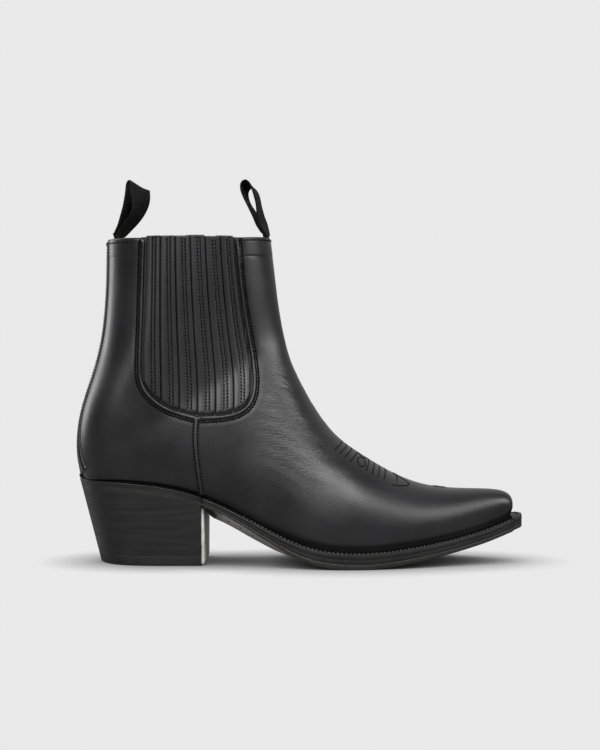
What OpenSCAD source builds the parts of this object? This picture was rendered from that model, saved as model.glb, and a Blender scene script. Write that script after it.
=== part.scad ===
// Western ankle boot, right foot: leather upper, elastic side gores, pull loops, stacked heel.
// +X points to the toe, +Y to the wearer's left, +Z up. The ground is z = 0.

/* [Size] */
// Overall length from the heel's back edge to the welt's tip
boot_length = 278.8; // [250:0.2:320]
// Width of the upper across the ball of the foot
ball_width = 86; // [74:1:104]
// Height of the top line at the front of the shaft
shaft_height = 202.8; // [180:0.2:240]

/* [Upper] */
// Thickness of the outer leather
leather = 1.4; // [1:0.1:2]
// Thickness of the lining leather
lining = 0.7; // [0.5:0.1:1.2]
// Thickness of one gore strip
strip_thick = 0.6; // [0.5:0.1:0.8]
// How far each gore strip runs under its neighbour
strip_overlap = 2.5; // [1:0.5:4]
// Thickness of the gore elastic
elastic = 0.5; // [0.4:0.1:0.8]
// Half width of the side seam strip
seam_half = 2.1; // [1.5:0.1:3]
// Half width of the backstay
backstay_half = 4.5; // [3:0.5:8]

/* [Sole] */
// Reach of the welt beyond the upper at the sides of the forefoot
welt_reach = 4.6; // [2:0.1:7]
// Reach of the welt beyond the upper at the toe
toe_reach = 7.6; // [4:0.1:10]
// Thickness of the whole sole edge at the ball
sole_edge = 9.5; // [7:0.1:12]
// Drop of the domed waist below its own edge
waist_dome = 7.5; // [3:0.5:9]
// Number of wooden pegs along each side of the waist
peg_count = 7; // [4:1:9]
// Radius of a wooden peg
peg_radius = 0.9; // [0.6:0.1:1.2]

/* [Heel] */
// Thickness of the rubber top piece that meets the ground
top_piece_thick = 6; // [4:0.5:8]
// Height of the top of the level lifts
stack_top = 32; // [24:1:36]
// Thickness of the leather cover on the heel's front face
breast_cover = 1.8; // [1:0.1:3]
// Number of nails that hold the heel on
nail_count = 5; // [3:1:7]
// Radius of a heel nail
nail_radius = 1.1; // [0.8:0.1:1.5]

/* [Pull loops] */
// Width of the webbing
webbing_width = 16; // [12:1:22]
// Thickness of the webbing
webbing_thick = 1.2; // [0.8:0.1:1.6]
// Height of each pull loop
loop_height = 31; // [24:1:40]
// Height of the loop's turning line above the top line
loop_lift = 2.7; // [2.5:0.1:4]

/* [Hidden] */
// The stations below are drawn at this size and scaled to the size asked for.
size_x = boot_length / 278.8;
size_y = ball_width / 86;
size_z = shaft_height / 202.8;
gore_strips = 6;
heel_lifts = 5;
last_station = 20;
heel_station = 14;
feather_turn = 172;
centre_turn = 179.6;
toe_start = 0.15;
breast_x = -60.5;
breast_station = 10.5;
lining_depth = 3.35;
layer_clear = 0.35;
puff_depth = leather + layer_clear;
puff_thick = 0.9;
counter_depth = 2;
counter_thick = 0.8;
elastic_depth = 2;

// Stations of the foot form, from the toe's lower edge (0) over the toe and up to the top line (20).
// Upper end of each station: the toe's front, the instep ridge and the shaft's front line.
ridge = [
  [131.6, 28], [133.2, 36.5], [130.2, 43], [118, 45.2], [98, 45.6], [76, 48.4], [56, 56.6],
  [38, 67.6], [22, 79.3], [8.5, 97.5], [-0.5, 114], [-5.3, 124.5], [-8, 133], [-9.6, 139.5],
  [-11, 146], [-12.2, 152.5], [-13.4, 159.5], [-14.5, 167], [-15.7, 177], [-17.2, 190],
  [-18.8, 202.8]
];
// Lower end of each station: the feather edge along the sole, then the shaft's back line.
base = [
  [131.6, 28], [129.5, 27], [124.5, 25], [113.5, 21.2], [95, 16.6], [74, 13], [52, 10.3],
  [30, 9.6], [6, 12.6], [-19, 22.6], [-46, 36.6], [-74, 46.4], [-103, 50.6], [-127, 52.4],
  [-136.2, 54], [-139.6, 74], [-136.6, 96], [-129.4, 117.5], [-123.6, 141], [-121, 170],
  [-120.4, 201.5]
];
// Half width at each station's widest place, lateral then medial.
wide_lateral = [9, 10.6, 13, 18, 26, 34.5, 41, 44, 42.5, 38, 34.5, 33, 32.5, 32.3, 32.2, 32, 31.6,
  31.2, 31, 31.2, 31.8];
wide_medial = [9, 10.8, 13.6, 19.5, 28, 37, 41.5, 40, 35.5, 33, 32.3, 32.2, 32.2, 32.2, 32.2, 32,
  31.6, 31.2, 31, 31.2, 31.8];
// Half width at the feather edge; it closes to nothing at the back of the heel.
feather_lateral = [9, 9.6, 11.8, 16.5, 24, 32.5, 39.5, 42.8, 40.5, 34, 29.5, 28.8, 28.5, 20, 0, 0,
  0, 0, 0, 0, 0];
feather_medial = [9, 9.8, 12.4, 18, 26.5, 35, 39.5, 36.5, 30, 26, 26.8, 28.5, 28.8, 20, 0, 0, 0,
  0, 0, 0, 0];
// Where up each station the widest place lies, as a share of its length.
waistline = [0.5, 0.45, 0.42, 0.38, 0.34, 0.3, 0.27, 0.26, 0.26, 0.28, 0.3, 0.3, 0.28, 0.25,
  0.24, 0.25, 0.28, 0.32, 0.36, 0.41, 0.46];
// How square the upper half of each station is; 2 is an ellipse.
squareness = [3, 3, 2.9, 2.6, 2.3, 2.1, 2, 1.95, 1.9, 1.85, 1.85, 1.85, 1.9, 1.9, 1.9, 1.95, 2,
  2.05, 2.1, 2.15, 2.2];

stations = [for (i = [0:last_station]) [
  ridge[i][0] * size_x, ridge[i][1] * size_z, base[i][0] * size_x, base[i][1] * size_z,
  wide_lateral[i] * size_y, wide_medial[i] * size_y,
  feather_lateral[i] * size_y, feather_medial[i] * size_y, waistline[i], squareness[i]]];

// A smooth curve that passes close by its points: knots() prepares them, along() reads one place.
function knots(points) = let (last = len(points) - 1) [for (i = [0:last])
  i == 0 || i == last ? points[i]
  : points[i] + (2 * points[i] - points[i - 1] - points[i + 1]) / 6];
function along(curve, place) =
  let (last = len(curve) - 1,
       inside = max(0, min(last, place)),
       i = min(floor(inside), last - 1),
       f = inside - i,
       before = i == 0 ? 2 * curve[0] - curve[1] : curve[i - 1],
       after = i + 2 > last ? 2 * curve[last] - curve[last - 1] : curve[i + 2])
  ((1 - f) * (1 - f) * (1 - f) * before + (3 * f * f * f - 6 * f * f + 4) * curve[i]
   + (3 * f + 3 * f * f - 3 * f * f * f + 1) * curve[i + 1] + f * f * f * after) / 6;
station_curve = knots(stations);
function station(s) = along(station_curve, s);

// A point of the form's skin. Turn 0 is the ridge or front line, 180 the feather edge or back line;
// a positive turn is on the lateral side (-Y).
function skin_point(row, turn) =
  let (side = turn < 0 ? 1 : 0,
       a = abs(turn),
       width = row[4 + side],
       foot = max(0, row[6 + side]),
       upper_half = a <= 90,
       power = upper_half ? 2 / row[9] : 1,
       across = pow(abs(sin(a)), power),
       up = pow(abs(cos(a)), power),
       y = upper_half ? width * across : foot + (width - foot) * across,
       h = upper_half ? row[8] + (1 - row[8]) * up : row[8] - row[8] * up)
  [row[2] + (row[0] - row[2]) * h, side == 1 ? y : -y, row[3] + (row[1] - row[3]) * h];
function wrapped(s, turn) = abs(turn) <= 180 ? turn
  : s < heel_station ? (turn > 0 ? 180 : -180)
  : turn > 0 ? turn - 360 : turn + 360;
turn_step = 1.5;
station_step = 0.12;
// Depth is measured inwards from the skin. The layers thin out together at the tip of the toe.
full_depth_height = 14;
function skin(s, turn, depth) =
  let (row = station(s),
       here = skin_point(row, turn),
       d_turn = skin_point(row, wrapped(s, turn + turn_step))
              - skin_point(row, wrapped(s, turn - turn_step)),
       d_station = skin_point(station(s + station_step), turn)
                 - skin_point(station(s - station_step), turn),
       normal = cross(d_station, d_turn),
       height = norm([row[0] - row[2], row[1] - row[3]]),
       share = min(1, height / full_depth_height))
  here - normal / norm(normal) * depth * share;

// Which station and turn a place on the flank has, from its x and z.
function station_side(s, x, z) = let (row = station(s))
  (x - row[2]) * (row[1] - row[3]) - (z - row[3]) * (row[0] - row[2]);
function find_station(x, z, low, high, steps) =
  steps == 0 ? (low + high) / 2
  : let (middle = (low + high) / 2)
    station_side(middle, x, z) > 0 ? find_station(x, z, low, middle, steps - 1)
    : find_station(x, z, middle, high, steps - 1);
function flank(x, z) =
  let (s = find_station(x, z, 1, last_station, 13),
       row = station(s),
       rise = [row[0] - row[2], row[1] - row[3]],
       h = max(0, min(1, ((x - row[2]) * rise[0] + (z - row[3]) * rise[1]) / (rise * rise))),
       level = row[8],
       turn = h >= level ? acos(pow((h - level) / (1 - level), row[9] / 2))
            : 180 - acos((level - h) / level))
  [s, turn];

// Outlines drawn on the flank, in x and z.
gore_front = knots([[-39.3, 200.2], [-37.3, 175], [-33.4, 147], [-29.6, 124], [-29, 109],
  [-31.8, 99.5], [-39, 94], [-50, 91.9], [-61.5, 91.6]]);
gore_rear = knots([[-95.2, 199.2], [-96, 165], [-96.7, 128], [-96, 114], [-91.8, 105.5],
  [-83, 98.3], [-73, 94], [-64, 91.6]]);
side_seam = knots([[-62.8, 91.4], [-63.6, 80], [-62.5, 65], [-59.6, 43.2]]);
gore_floor = [[-96, 114], [-91.8, 105.5], [-83, 98.3], [-73, 94], [-62, 91.6], [-50, 91.9],
  [-39, 94], [-31.8, 99.5], [-29, 109]];
gore_window_rear = [[90, -95.6], [128, -96.2], [200, -94.6]];
gore_window_front = [[90, -30.2], [112, -29.6], [126, -30.4], [147, -34], [172, -37.4],
  [200, -39.9]];
elastic_rear = [[88, -76], [94, -88], [104, -96], [118, -99.5], [200, -98.5]];
elastic_front = [[88, -42], [94, -33.5], [102, -28.5], [112, -26.5], [126, -27], [147, -31],
  [200, -36.5]];
function flank_curve(curve, f, shift = 0) =
  let (p = along(curve, f * (len(curve) - 1))) flank((p[0] + shift) * size_x, p[1] * size_z);
// The top line dips a little at the sides, more in front of the gore than behind it.
top_dip = 0.2;
function top_line(turn) =
  [last_station - top_dip * pow(sin(turn), 2) * (0.45 + 0.4 * cos(turn)), turn];

function mirrored(p) = [p[0], -p[1], p[2]];
function blend(a, b, f) = a + (b - a) * f;

// Closed solid between two grids of points of equal size.
module shell(outer, inner) {
  rows = len(outer);
  cols = len(outer[0]);
  half = rows * cols;
  points = concat([for (r = outer) for (p = r) p], [for (r = inner) for (p = r) p]);
  function at(r, c) = r * cols + c;
  quads = concat(
    [for (r = [0:rows - 2]) for (c = [0:cols - 2])
      [at(r, c), at(r, c + 1), at(r + 1, c + 1), at(r + 1, c)]],
    [for (r = [0:rows - 2]) for (c = [0:cols - 2])
      [at(r + 1, c) + half, at(r + 1, c + 1) + half, at(r, c + 1) + half, at(r, c) + half]],
    [for (c = [0:cols - 2]) [at(0, c + 1), at(0, c), at(0, c) + half, at(0, c + 1) + half]],
    [for (c = [0:cols - 2]) [at(rows - 1, c), at(rows - 1, c + 1),
      at(rows - 1, c + 1) + half, at(rows - 1, c) + half]],
    [for (r = [0:rows - 2]) [at(r, 0), at(r + 1, 0), at(r + 1, 0) + half, at(r, 0) + half]],
    [for (r = [0:rows - 2]) [at(r + 1, cols - 1), at(r, cols - 1),
      at(r, cols - 1) + half, at(r + 1, cols - 1) + half]]);
  polyhedron(points, [for (q = quads) for (t = [[q[0], q[1], q[2]], [q[0], q[2], q[3]]]) t]);
}
// A leather layer over a grid of [station, turn] places, between two depths.
module layer(grid, top_depth, thickness) {
  shell([for (r = grid) [for (p = r) skin(p[0], p[1], top_depth)]],
        [for (r = grid) [for (p = r) skin(p[0], p[1], top_depth + thickness)]]);
}

// Grid of the one-piece front: vamp, tongue and the shaft's front, on both sides. Its columns
// start at the toe, narrow at the throat of the instep and end along the piece's edge.
seam_clear = 0.2;
seam_foot = 10.45;
throat_station = 10.3;
throat_share = 0.64;
throat_turns = [0, 6, 12, 17, 22, 26, 30, 35, 45, 56, 64, 71, 77, 84, 94, 118, 172];
flare = 1.6;
toe_crowding = 1.35;
function front_edge(clear) =
  let (corner = flank_curve(gore_front, 0, clear)[1])
  concat([for (i = [0:3]) top_line(corner * i / 4)],
         [for (i = [0:7]) flank_curve(gore_front, i / 8, clear)],
         [for (i = [0:3]) flank_curve(side_seam, i / 4, clear)],
         [[seam_foot - clear * 0.03, feather_turn]]);
function front_place(first, start_turn, throat, end, f) =
  f <= throat_share
  ? let (g = pow(f / throat_share, toe_crowding))
    [blend(first, throat_station, g), blend(start_turn, throat, g)]
  : let (g = (f - throat_share) / (1 - throat_share))
    [blend(throat_station, end[0], g), blend(throat, end[1], pow(g, flare))];
function front_grid(clear, first, foot_turn, rows) =
  let (edge = front_edge(clear), last = len(edge) - 1)
  [for (i = [0:rows]) [for (j = [-last:last]) let (e = edge[abs(j)])
    front_place(first, foot_turn * j / last, min(throat_turns[abs(j)], foot_turn) * sign(j),
                [e[0], min(e[1], foot_turn) * sign(j)], i / rows)]];
// Grid of one side's quarter, from the side seam round to the middle of the back.
quarter_rows = 12;
quarter_cols = 14;
gore_share = 0.7;
heel_swing = 6;
front_rows = 22;
function quarter_feather(f, foot_turn) =
  let (s = blend(seam_foot, heel_station + 0.02, f))
  [s, blend(foot_turn, centre_turn, pow(f, heel_swing))];
function quarter_top(f, clear) =
  f <= gore_share ? flank_curve(gore_rear, 1 - f / gore_share, -clear)
  : top_line(blend(flank_curve(gore_rear, 0, -clear)[1], centre_turn,
                   (f - gore_share) / (1 - gore_share)));
function quarter_grid(clear, foot_turn, rows, cols) =
  let (corner_00 = quarter_feather(0, foot_turn),
       corner_10 = quarter_feather(1, foot_turn),
       corner_01 = quarter_top(0, clear),
       corner_11 = quarter_top(1, clear))
  [for (i = [0:rows]) let (v = i / rows) [for (j = [0:cols]) let (u = j / cols)
    blend(blend(corner_00, corner_01, v) + (seam_bend(v, clear, corner_00, corner_01)),
          blend(corner_10, corner_11, v), u)
    + blend(quarter_feather(u, foot_turn) - blend(corner_00, corner_10, u),
            quarter_top(u, clear) - blend(corner_01, corner_11, u), v)]];
function seam_bend(v, clear, low, high) =
  v == 0 || v == 1 ? [0, 0] : flank_curve(side_seam, 1 - v, -clear) - blend(low, high, v);
function on_side(grid, side) =
  side > 0 ? grid : [for (r = grid) [for (j = [len(r) - 1:-1:0]) mirrored(r[j])]];

module front_upper() {
  color([0.06, 0.06, 0.06])
    layer(front_grid(seam_clear, toe_start, feather_turn, front_rows), 0, leather);
}
module quarter(side) {
  color([0.07, 0.07, 0.07])
    layer(on_side(quarter_grid(seam_clear, feather_turn, quarter_rows, quarter_cols), side),
          0, leather);
}
lining_rows = 30;
lining_foot = 150;
lining_toe = 1.2;
module front_lining() {
  color([0.45, 0.36, 0.26])
    layer(front_grid(seam_clear, lining_toe, lining_foot, lining_rows), lining_depth, lining);
}
module quarter_lining(side) {
  color([0.47, 0.38, 0.28])
    layer(on_side(quarter_grid(seam_clear, lining_foot, quarter_rows, quarter_cols), side),
          lining_depth, lining);
}
// Stiffeners between the outer leather and the lining.
puff_places = [1, 1.6, 2.3, 3, 3.8];
puff_cols = 9;
module toe_puff() {
  color([0.62, 0.58, 0.5])
    layer([for (s = puff_places) [for (t = [-puff_cols:puff_cols])
      [s, t * lining_foot / puff_cols]]], puff_depth, puff_thick);
}
counter_places = [14.4, 14.9, 15.4, 15.9];
counter_cols = 8;
counter_half_turn = 56;
module heel_counter() {
  color([0.6, 0.55, 0.46])
    layer([for (s = counter_places) [for (t = [-counter_cols:counter_cols])
      [s, wrapped(last_station, 180 + t * counter_half_turn / counter_cols)]]],
      counter_depth, counter_thick);
}
// The backstay and the seam strips lie on the outer leather, with a hair's gap for the glue.
shaft_half_width = 31;
stay_turn = asin(backstay_half / shaft_half_width);
stay_rows = 12;
stay_foot = 0.15;
stay_proud = 1.1;
stay_thick = 0.85;
module backstay() {
  color([0.05, 0.05, 0.05])
    layer([for (i = [0:stay_rows]) [for (t = [-2:2])
      [blend(heel_station + stay_foot, last_station, i / stay_rows),
       wrapped(last_station, 180 + t * stay_turn / 2)]]], -stay_proud, stay_thick);
}
seam_rows = 9;
seam_end = 0.957;
seam_proud = 1;
seam_thick = 0.8;
module seam_strip(side) {
  color([0.05, 0.05, 0.05])
    layer(on_side([for (i = [seam_rows:-1:0]) [for (t = [1:-1:-1])
      flank_curve(side_seam, seam_end * i / seam_rows, t * seam_half)]], side),
      -seam_proud, seam_thick);
}
module gore_elastic(side) {
  levels = [88, 91, 94, 98, 102, 107, 112, 118, 124, 130, 138, 147, 157, 168, 179, 190, 199.6];
  cols = 12;
  color([0.1, 0.1, 0.1])
    layer(on_side([for (z = levels) [for (i = [cols:-1:0])
      flank(blend(lookup(z, elastic_rear), lookup(z, elastic_front), i / cols) * size_x,
            z * size_z)]], side), elastic_depth, elastic);
}
// One gore strip: its front edge stands up over the next one, its rear edge is tucked under.
strip_rows = 9;
strip_low = 100;
strip_top = 200.6;
strip_raised = 0.1;
strip_tucked = 1.12;
strip_clear = 0.3;
function strip_x(k, z) =
  blend(lookup(z, gore_window_rear), lookup(z, gore_window_front), k / gore_strips);
function strip_foot(x) = lookup(x, gore_floor) + 0.7;
function strip_grid(k) = [for (i = [0:strip_rows]) [for (f = [2:-1:0])
  let (level = blend(strip_low, strip_top, i / strip_rows),
       rear = strip_x(k, level) + (k == 0 ? strip_clear : -strip_overlap),
       front = strip_x(k + 1, level) - strip_clear,
       x = blend(rear, front, f / 2),
       z = blend(strip_foot(x), strip_top, i / strip_rows),
       place = flank(x * size_x, z * size_z))
  [place[0], place[1], blend(strip_tucked, strip_raised, f / 2)]]];
module gore_strip(k, side) {
  grid = on_side(strip_grid(k), side);
  color([0.08 + 0.004 * k, 0.08, 0.08])
    shell([for (r = grid) [for (p = r) skin(p[0], p[1], p[2])]],
          [for (r = grid) [for (p = r) skin(p[0], p[1], p[2] + strip_thick)]]);
}
// Facing inside the top line, and the webbing ends sewn in under each pull loop: in front
// between the outer leather and the lining, at the back on the inside of the facing.
facing_thick = 0.8;
facing_gap = 0.5;
facing_half_turn = 44;
module facing(middle, first) {
  color([0.3, 0.25, 0.2])
    layer([for (i = [0:3]) [for (t = [-6:6])
      let (turn = wrapped(last_station, middle + t * facing_half_turn / 6))
      [blend(first, top_line(turn)[0], i / 3), turn]]],
      lining_depth + lining + facing_gap, facing_thick);
}
anchor_rise = 0.3;
anchor_front_turn = 14;
anchor_rear_turn = 18;
anchor_rear_depth = 5.55;
module loop_anchor(middle, half_turn, depth, first) {
  grid = [for (s = [first, (first + last_station) / 2, last_station]) [for (t = [-2:2])
    [s, wrapped(last_station, middle + t * half_turn / 2)]]];
  function raised(p, row) = p + [0, 0, row == len(grid) - 1 ? anchor_rise : 0];
  function face(deep) =
    [for (r = [0:len(grid) - 1]) [for (p = grid[r]) raised(skin(p[0], p[1], deep), r)]];
  color([0.04, 0.04, 0.04]) shell(face(depth), face(depth + puff_thick));
}

// ---- Sole: layers that follow the feather edge ----
// The feather edge runs from the middle of the toe (-1) past the toe's corner (0) to the heel.
function feather(s, side) =
  let (row = station(max(0, s)), y = max(0, row[side < 0 ? 6 : 7]))
  [row[2], side * y * min(1, s + 1), row[3]];
edge_step = 0.14;
function feather_out(s, side) =
  let (run = feather(min(heel_station, s + edge_step), side)
           - feather(max(-1, s - edge_step), side),
       out = side * [run[1], -run[0]])
  s >= heel_station ? [-1, 0] : s <= -1 ? [1, 0] : out / norm(out);
function outline(s, side, reach) =
  let (f = feather(s, side), n = feather_out(s, side)) [f[0] + n[0] * reach, f[1] + n[1] * reach];
reach_table = [[-1, toe_reach], [0, toe_reach - 1], [1, welt_reach + 1], [3, welt_reach],
  [8, welt_reach], [9, 2.8], [10, 1.9], [heel_station, 1.9]];
function reach_at(s) = lookup(s, reach_table);
// Thickness of the whole sole edge, and the shares of it where its layers meet.
edge_table = [[-1, 7.7], [2, 7.3], [4, 7.7], [6.3, sole_edge], [8, sole_edge], [9.2, 6.4],
  [10, 5.2], [heel_station, 5]];
function drop_at(s, share) = 0.3 + share * (lookup(s, edge_table) - 0.3);
welt_share = 0.36;
midsole_share = 0.66;
layer_gap = 0.012;
dome_table = [[7.7, 0], [8.3, 0.4], [8.9, 0.8], [9.5, 1], [10.44, 1], [breast_station, 0],
  [heel_station, 0]];
forefoot = [-1, -0.6, -0.25, 0, 0.3, 0.7, 1.2, 2, 3, 4, 5, 6, 7, 8, 8.6, 9.2, 9.8, 10.44];
heel_seat = [breast_station, 11, 11.6, 12.2, 12.7, 13.1, 13.4, 13.7, 13.9];
inner_places = [1.7, 2, 3, 4, 5, 6, 7, 8, 8.6, 9.2, 9.8, 10.44, 11, 11.6, 12.2, 12.7, 13.1];

// A solid across the foot, one row per station: [station, reach, top drop, bottom drop, dome].
module across(rows) {
  steps = 6;
  function point(r, j, drop, dome) =
    let (a = outline(r[0], -1, r[1]), b = outline(r[0], 1, r[1]), f = j / steps,
         flat = blend(a, b, f))
    [flat[0], flat[1], feather(r[0], 1)[2] - drop - dome * 4 * f * (1 - f)];
  shell([for (r = rows) [for (j = [0:steps]) point(r, j, r[3], r[4])]],
        [for (r = rows) [for (j = [0:steps]) point(r, j, r[2], 0)]]);
}
module sole_layer(places, top_share, bottom_share, dome) {
  across([for (s = places) [s, reach_at(s), drop_at(s, top_share),
    drop_at(s, bottom_share), dome * lookup(s, dome_table)]]);
}
// A strip that follows the feather edge, between its outer reach and a line inside the feather.
ring_inner = 3.9;
module rim(path, top_share, bottom_share) {
  rings = [for (p = path) let (s = p[0], side = p[1], z = feather(s, side)[2],
    far = outline(s, side, reach_at(s)), near = outline(s, side, -ring_inner))
    [[far[0], far[1], z - drop_at(s, top_share)], [far[0], far[1], z - drop_at(s, bottom_share)],
     [near[0], near[1], z - drop_at(s, bottom_share)],
     [near[0], near[1], z - drop_at(s, top_share)]]];
  last = len(rings) - 1;
  sides = [for (i = [0:last - 1]) for (j = [0:3]) let (a = 4 * i + j, b = 4 * i + (j + 1) % 4)
    each [[b, a, b + 4], [b + 4, a, a + 4]]];
  ends = [[3, 0, 2], [2, 0, 1], [4 * last + 1, 4 * last, 4 * last + 2],
    [4 * last + 2, 4 * last, 4 * last + 3]];
  polyhedron([for (r = rings) for (p = r) p], concat(sides, ends));
}
module welt() {
  last = len(forefoot) - 1;
  color([0.09, 0.09, 0.09])
    rim(concat([for (i = [last:-1:0]) [forefoot[i], -1]], [for (i = [1:last]) [forefoot[i], 1]]),
        0, welt_share - layer_gap);
}
module heel_rand() {
  places = concat(heel_seat, [heel_station]);
  last = len(places) - 1;
  color([0.13, 0.12, 0.1])
    rim(concat([for (i = [0:last - 1]) [places[i], 1]],
               [for (i = [last:-1:0]) [places[i], -1]]), 0, midsole_share - layer_gap);
}
module midsole() {
  color([0.1, 0.1, 0.1]) sole_layer(forefoot, welt_share, midsole_share - layer_gap, 0);
}
module outsole() {
  color([0.5, 0.36, 0.22])
    sole_layer(concat(forefoot, heel_seat), midsole_share, 1, waist_dome);
}
// The board lies on the feather line, the sock liner on the board, the cork between the welt's
// two sides. Heights are counted from the feather line.
board_thick = 1.7;
board_inset = 2.6;
board_rise = 0.3;
module insole_board() {
  color([0.55, 0.42, 0.28])
    across([for (s = inner_places) [s, -board_inset, -board_rise - board_thick, -board_rise, 0]]);
}
sock_inset = 3.6;
sock_thick = 1;
sock_gap = 0.1;
module sock_liner() {
  bottom = board_rise + board_thick + sock_gap;
  color([0.2, 0.15, 0.1])
    across([for (s = inner_places) [s, -sock_inset, -bottom - sock_thick, -bottom, 0]]);
}
filler_places = [1.7, 2, 3, 4, 5, 6, 7, 8];
filler_inset = ring_inner + 0.7;
filler_top = 0.2;
filler_gap = 0.1;
module cork_filler() {
  color([0.68, 0.5, 0.32])
    across([for (s = filler_places) [s, -filler_inset, filler_top,
      drop_at(s, welt_share) - filler_gap, 0]]);
}
shank_half = 7;
shank_thick = 1.2;
shank_drop = 0.4;
module steel_shank() {
  function edge(s, side, drop) = let (f = feather(s, 1)) [f[0], side * shank_half, f[2] - drop];
  places = [8.25, 8.6, 9.2, 9.8, 10.44, 11, 11.6, 12.2];
  bottom = shank_drop + shank_thick;
  color([0.62, 0.63, 0.65])
    shell([for (s = places) [edge(s, -1, bottom), edge(s, 1, bottom)]],
          [for (s = places) [edge(s, -1, shank_drop), edge(s, 1, shank_drop)]]);
}
// Wooden pegs driven up through the waist from below, one row along each side.
peg_inset = 5;
peg_proud = 0.35;
peg_length = 2.6;
peg_first = 8.55;
peg_last = 10.2;
module waist_pegs() {
  color([0.1, 0.08, 0.07])
    for (side = [-1, 1]) for (i = [0:peg_count - 1])
      let (s = blend(peg_first, peg_last, i / (peg_count - 1)),
           edge = outline(s, side, reach_at(s)),
           place = outline(s, side, reach_at(s) - peg_inset),
           share = peg_inset / (2 * abs(edge[1])),
           hump = waist_dome * lookup(s, dome_table) * 4 * share * (1 - share),
           z = feather(s, side)[2] - drop_at(s, 1) - hump)
        translate([place[0], place[1], z - peg_proud])
          cylinder(peg_length, r = peg_radius, $fn = 10);
}

// ---- Heel: level lifts under a wedge that takes up the slope of the seat ----
heel_tall = 52;
heel_draw_x = 0.175;
heel_draw_y = 0.13;
heel_reach = 1.9;
function heel_point(s, side, z) =
  let (p = outline(s, side, heel_reach), low = 1 - z / (heel_tall * size_z),
       front = breast_x * size_x)
  [s == breast_station ? front : front + (p[0] - front) * (1 - heel_draw_x * low),
   p[1] * (1 - heel_draw_y * low), z];
module heel_slab(bottom, top) {
  shell([for (s = heel_seat) [heel_point(s, -1, bottom), heel_point(s, 1, bottom)]],
        [for (s = heel_seat) [heel_point(s, -1, top), heel_point(s, 1, top)]]);
}
lift_thick = (stack_top - top_piece_thick) / heel_lifts;
lift_gap = 0.06;
seat_gap = 0.3;
module heel_lift(k) {
  bottom = top_piece_thick + k * lift_thick;
  color([0.1 + 0.012 * (k % 2), 0.1, 0.1])
    heel_slab(bottom * size_z + lift_gap, (bottom + lift_thick) * size_z);
}
module heel_wedge() {
  function seat(s, side) = let (z = feather(s, side)[2] - drop_at(s, 1) - seat_gap,
    p = heel_point(s, side, z)) [p[0], p[1], z];
  color([0.11, 0.105, 0.1])
    shell([for (s = heel_seat) [heel_point(s, -1, stack_top * size_z + lift_gap),
                                  heel_point(s, 1, stack_top * size_z + lift_gap)]],
          [for (s = heel_seat) [seat(s, -1), seat(s, 1)]]);
}
module top_piece() {
  color([0.05, 0.05, 0.05]) heel_slab(0, top_piece_thick * size_z);
}
cover_gap = 0.15;
cover_low = 0.8;
cover_below_dome = 1.2;
cover_share = 0.985;
cover_rows = 6;
module heel_breast_cover() {
  front = breast_x * size_x + cover_gap;
  top = feather(breast_station, 1)[2] - drop_at(breast_station, 1) - waist_dome - cover_below_dome;
  levels = [for (i = [0:cover_rows]) blend(cover_low, top, i / cover_rows)];
  function side_at(z, side) = heel_point(breast_station, side, z)[1] * cover_share;
  color([0.62, 0.56, 0.47])
    shell([for (z = levels) [[front, side_at(z, -1), z], [front, side_at(z, 1), z]]],
          [for (z = levels) [[front + breast_cover, side_at(z, -1), z],
                             [front + breast_cover, side_at(z, 1), z]]]);
}
// The nails stand on a half oval, open towards the breast.
nail_centre = -98;
nail_oval = [22, 16];
nail_turns = [100, 260];
nail_low = 8;
nail_length = 30;
module heel_nails() {
  color([0.6, 0.6, 0.58])
    for (i = [0:nail_count - 1])
      let (angle = blend(nail_turns[0], nail_turns[1], i / (nail_count - 1)))
        translate([nail_centre * size_x + nail_oval[0] * cos(angle), nail_oval[1] * sin(angle),
                   nail_low * size_z])
          cylinder(nail_length * size_z, r = nail_radius, $fn = 24);
}

// ---- Pull loops: one band of webbing each, up, over and down, twisting as it rises ----
// Half of a path is [half the gap between the loop's two sides in mm, share of its height].
front_half = [[1, 0], [1.15, 0.16], [1.7, 0.38], [3.3, 0.64], [3.4, 0.88]];
rear_half = [[1, 0], [1.5, 0.16], [3.1, 0.36], [3.75, 0.57], [2.6, 0.84]];
loop_turn = 1.02;
function loop_path(half) =
  knots(concat(half, [[0, loop_turn]],
               [for (i = [len(half) - 1:-1:0]) [-half[i][0], half[i][1]]]));
loop_steps = 40;
// Each row of a twist is [share of the height, direction of the webbing's width].
front_twist = [[0, 3, 15.7, 0], [0.2, 5, 15, 0], [0.6, 2.8, 15.6, -1], [1, 4.5, 14.5, -4]];
rear_twist = [[0, 4, 15.5, 0], [0.5, 6.5, 14.4, -2], [1, 12, 7.3, -7.6]];
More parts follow.
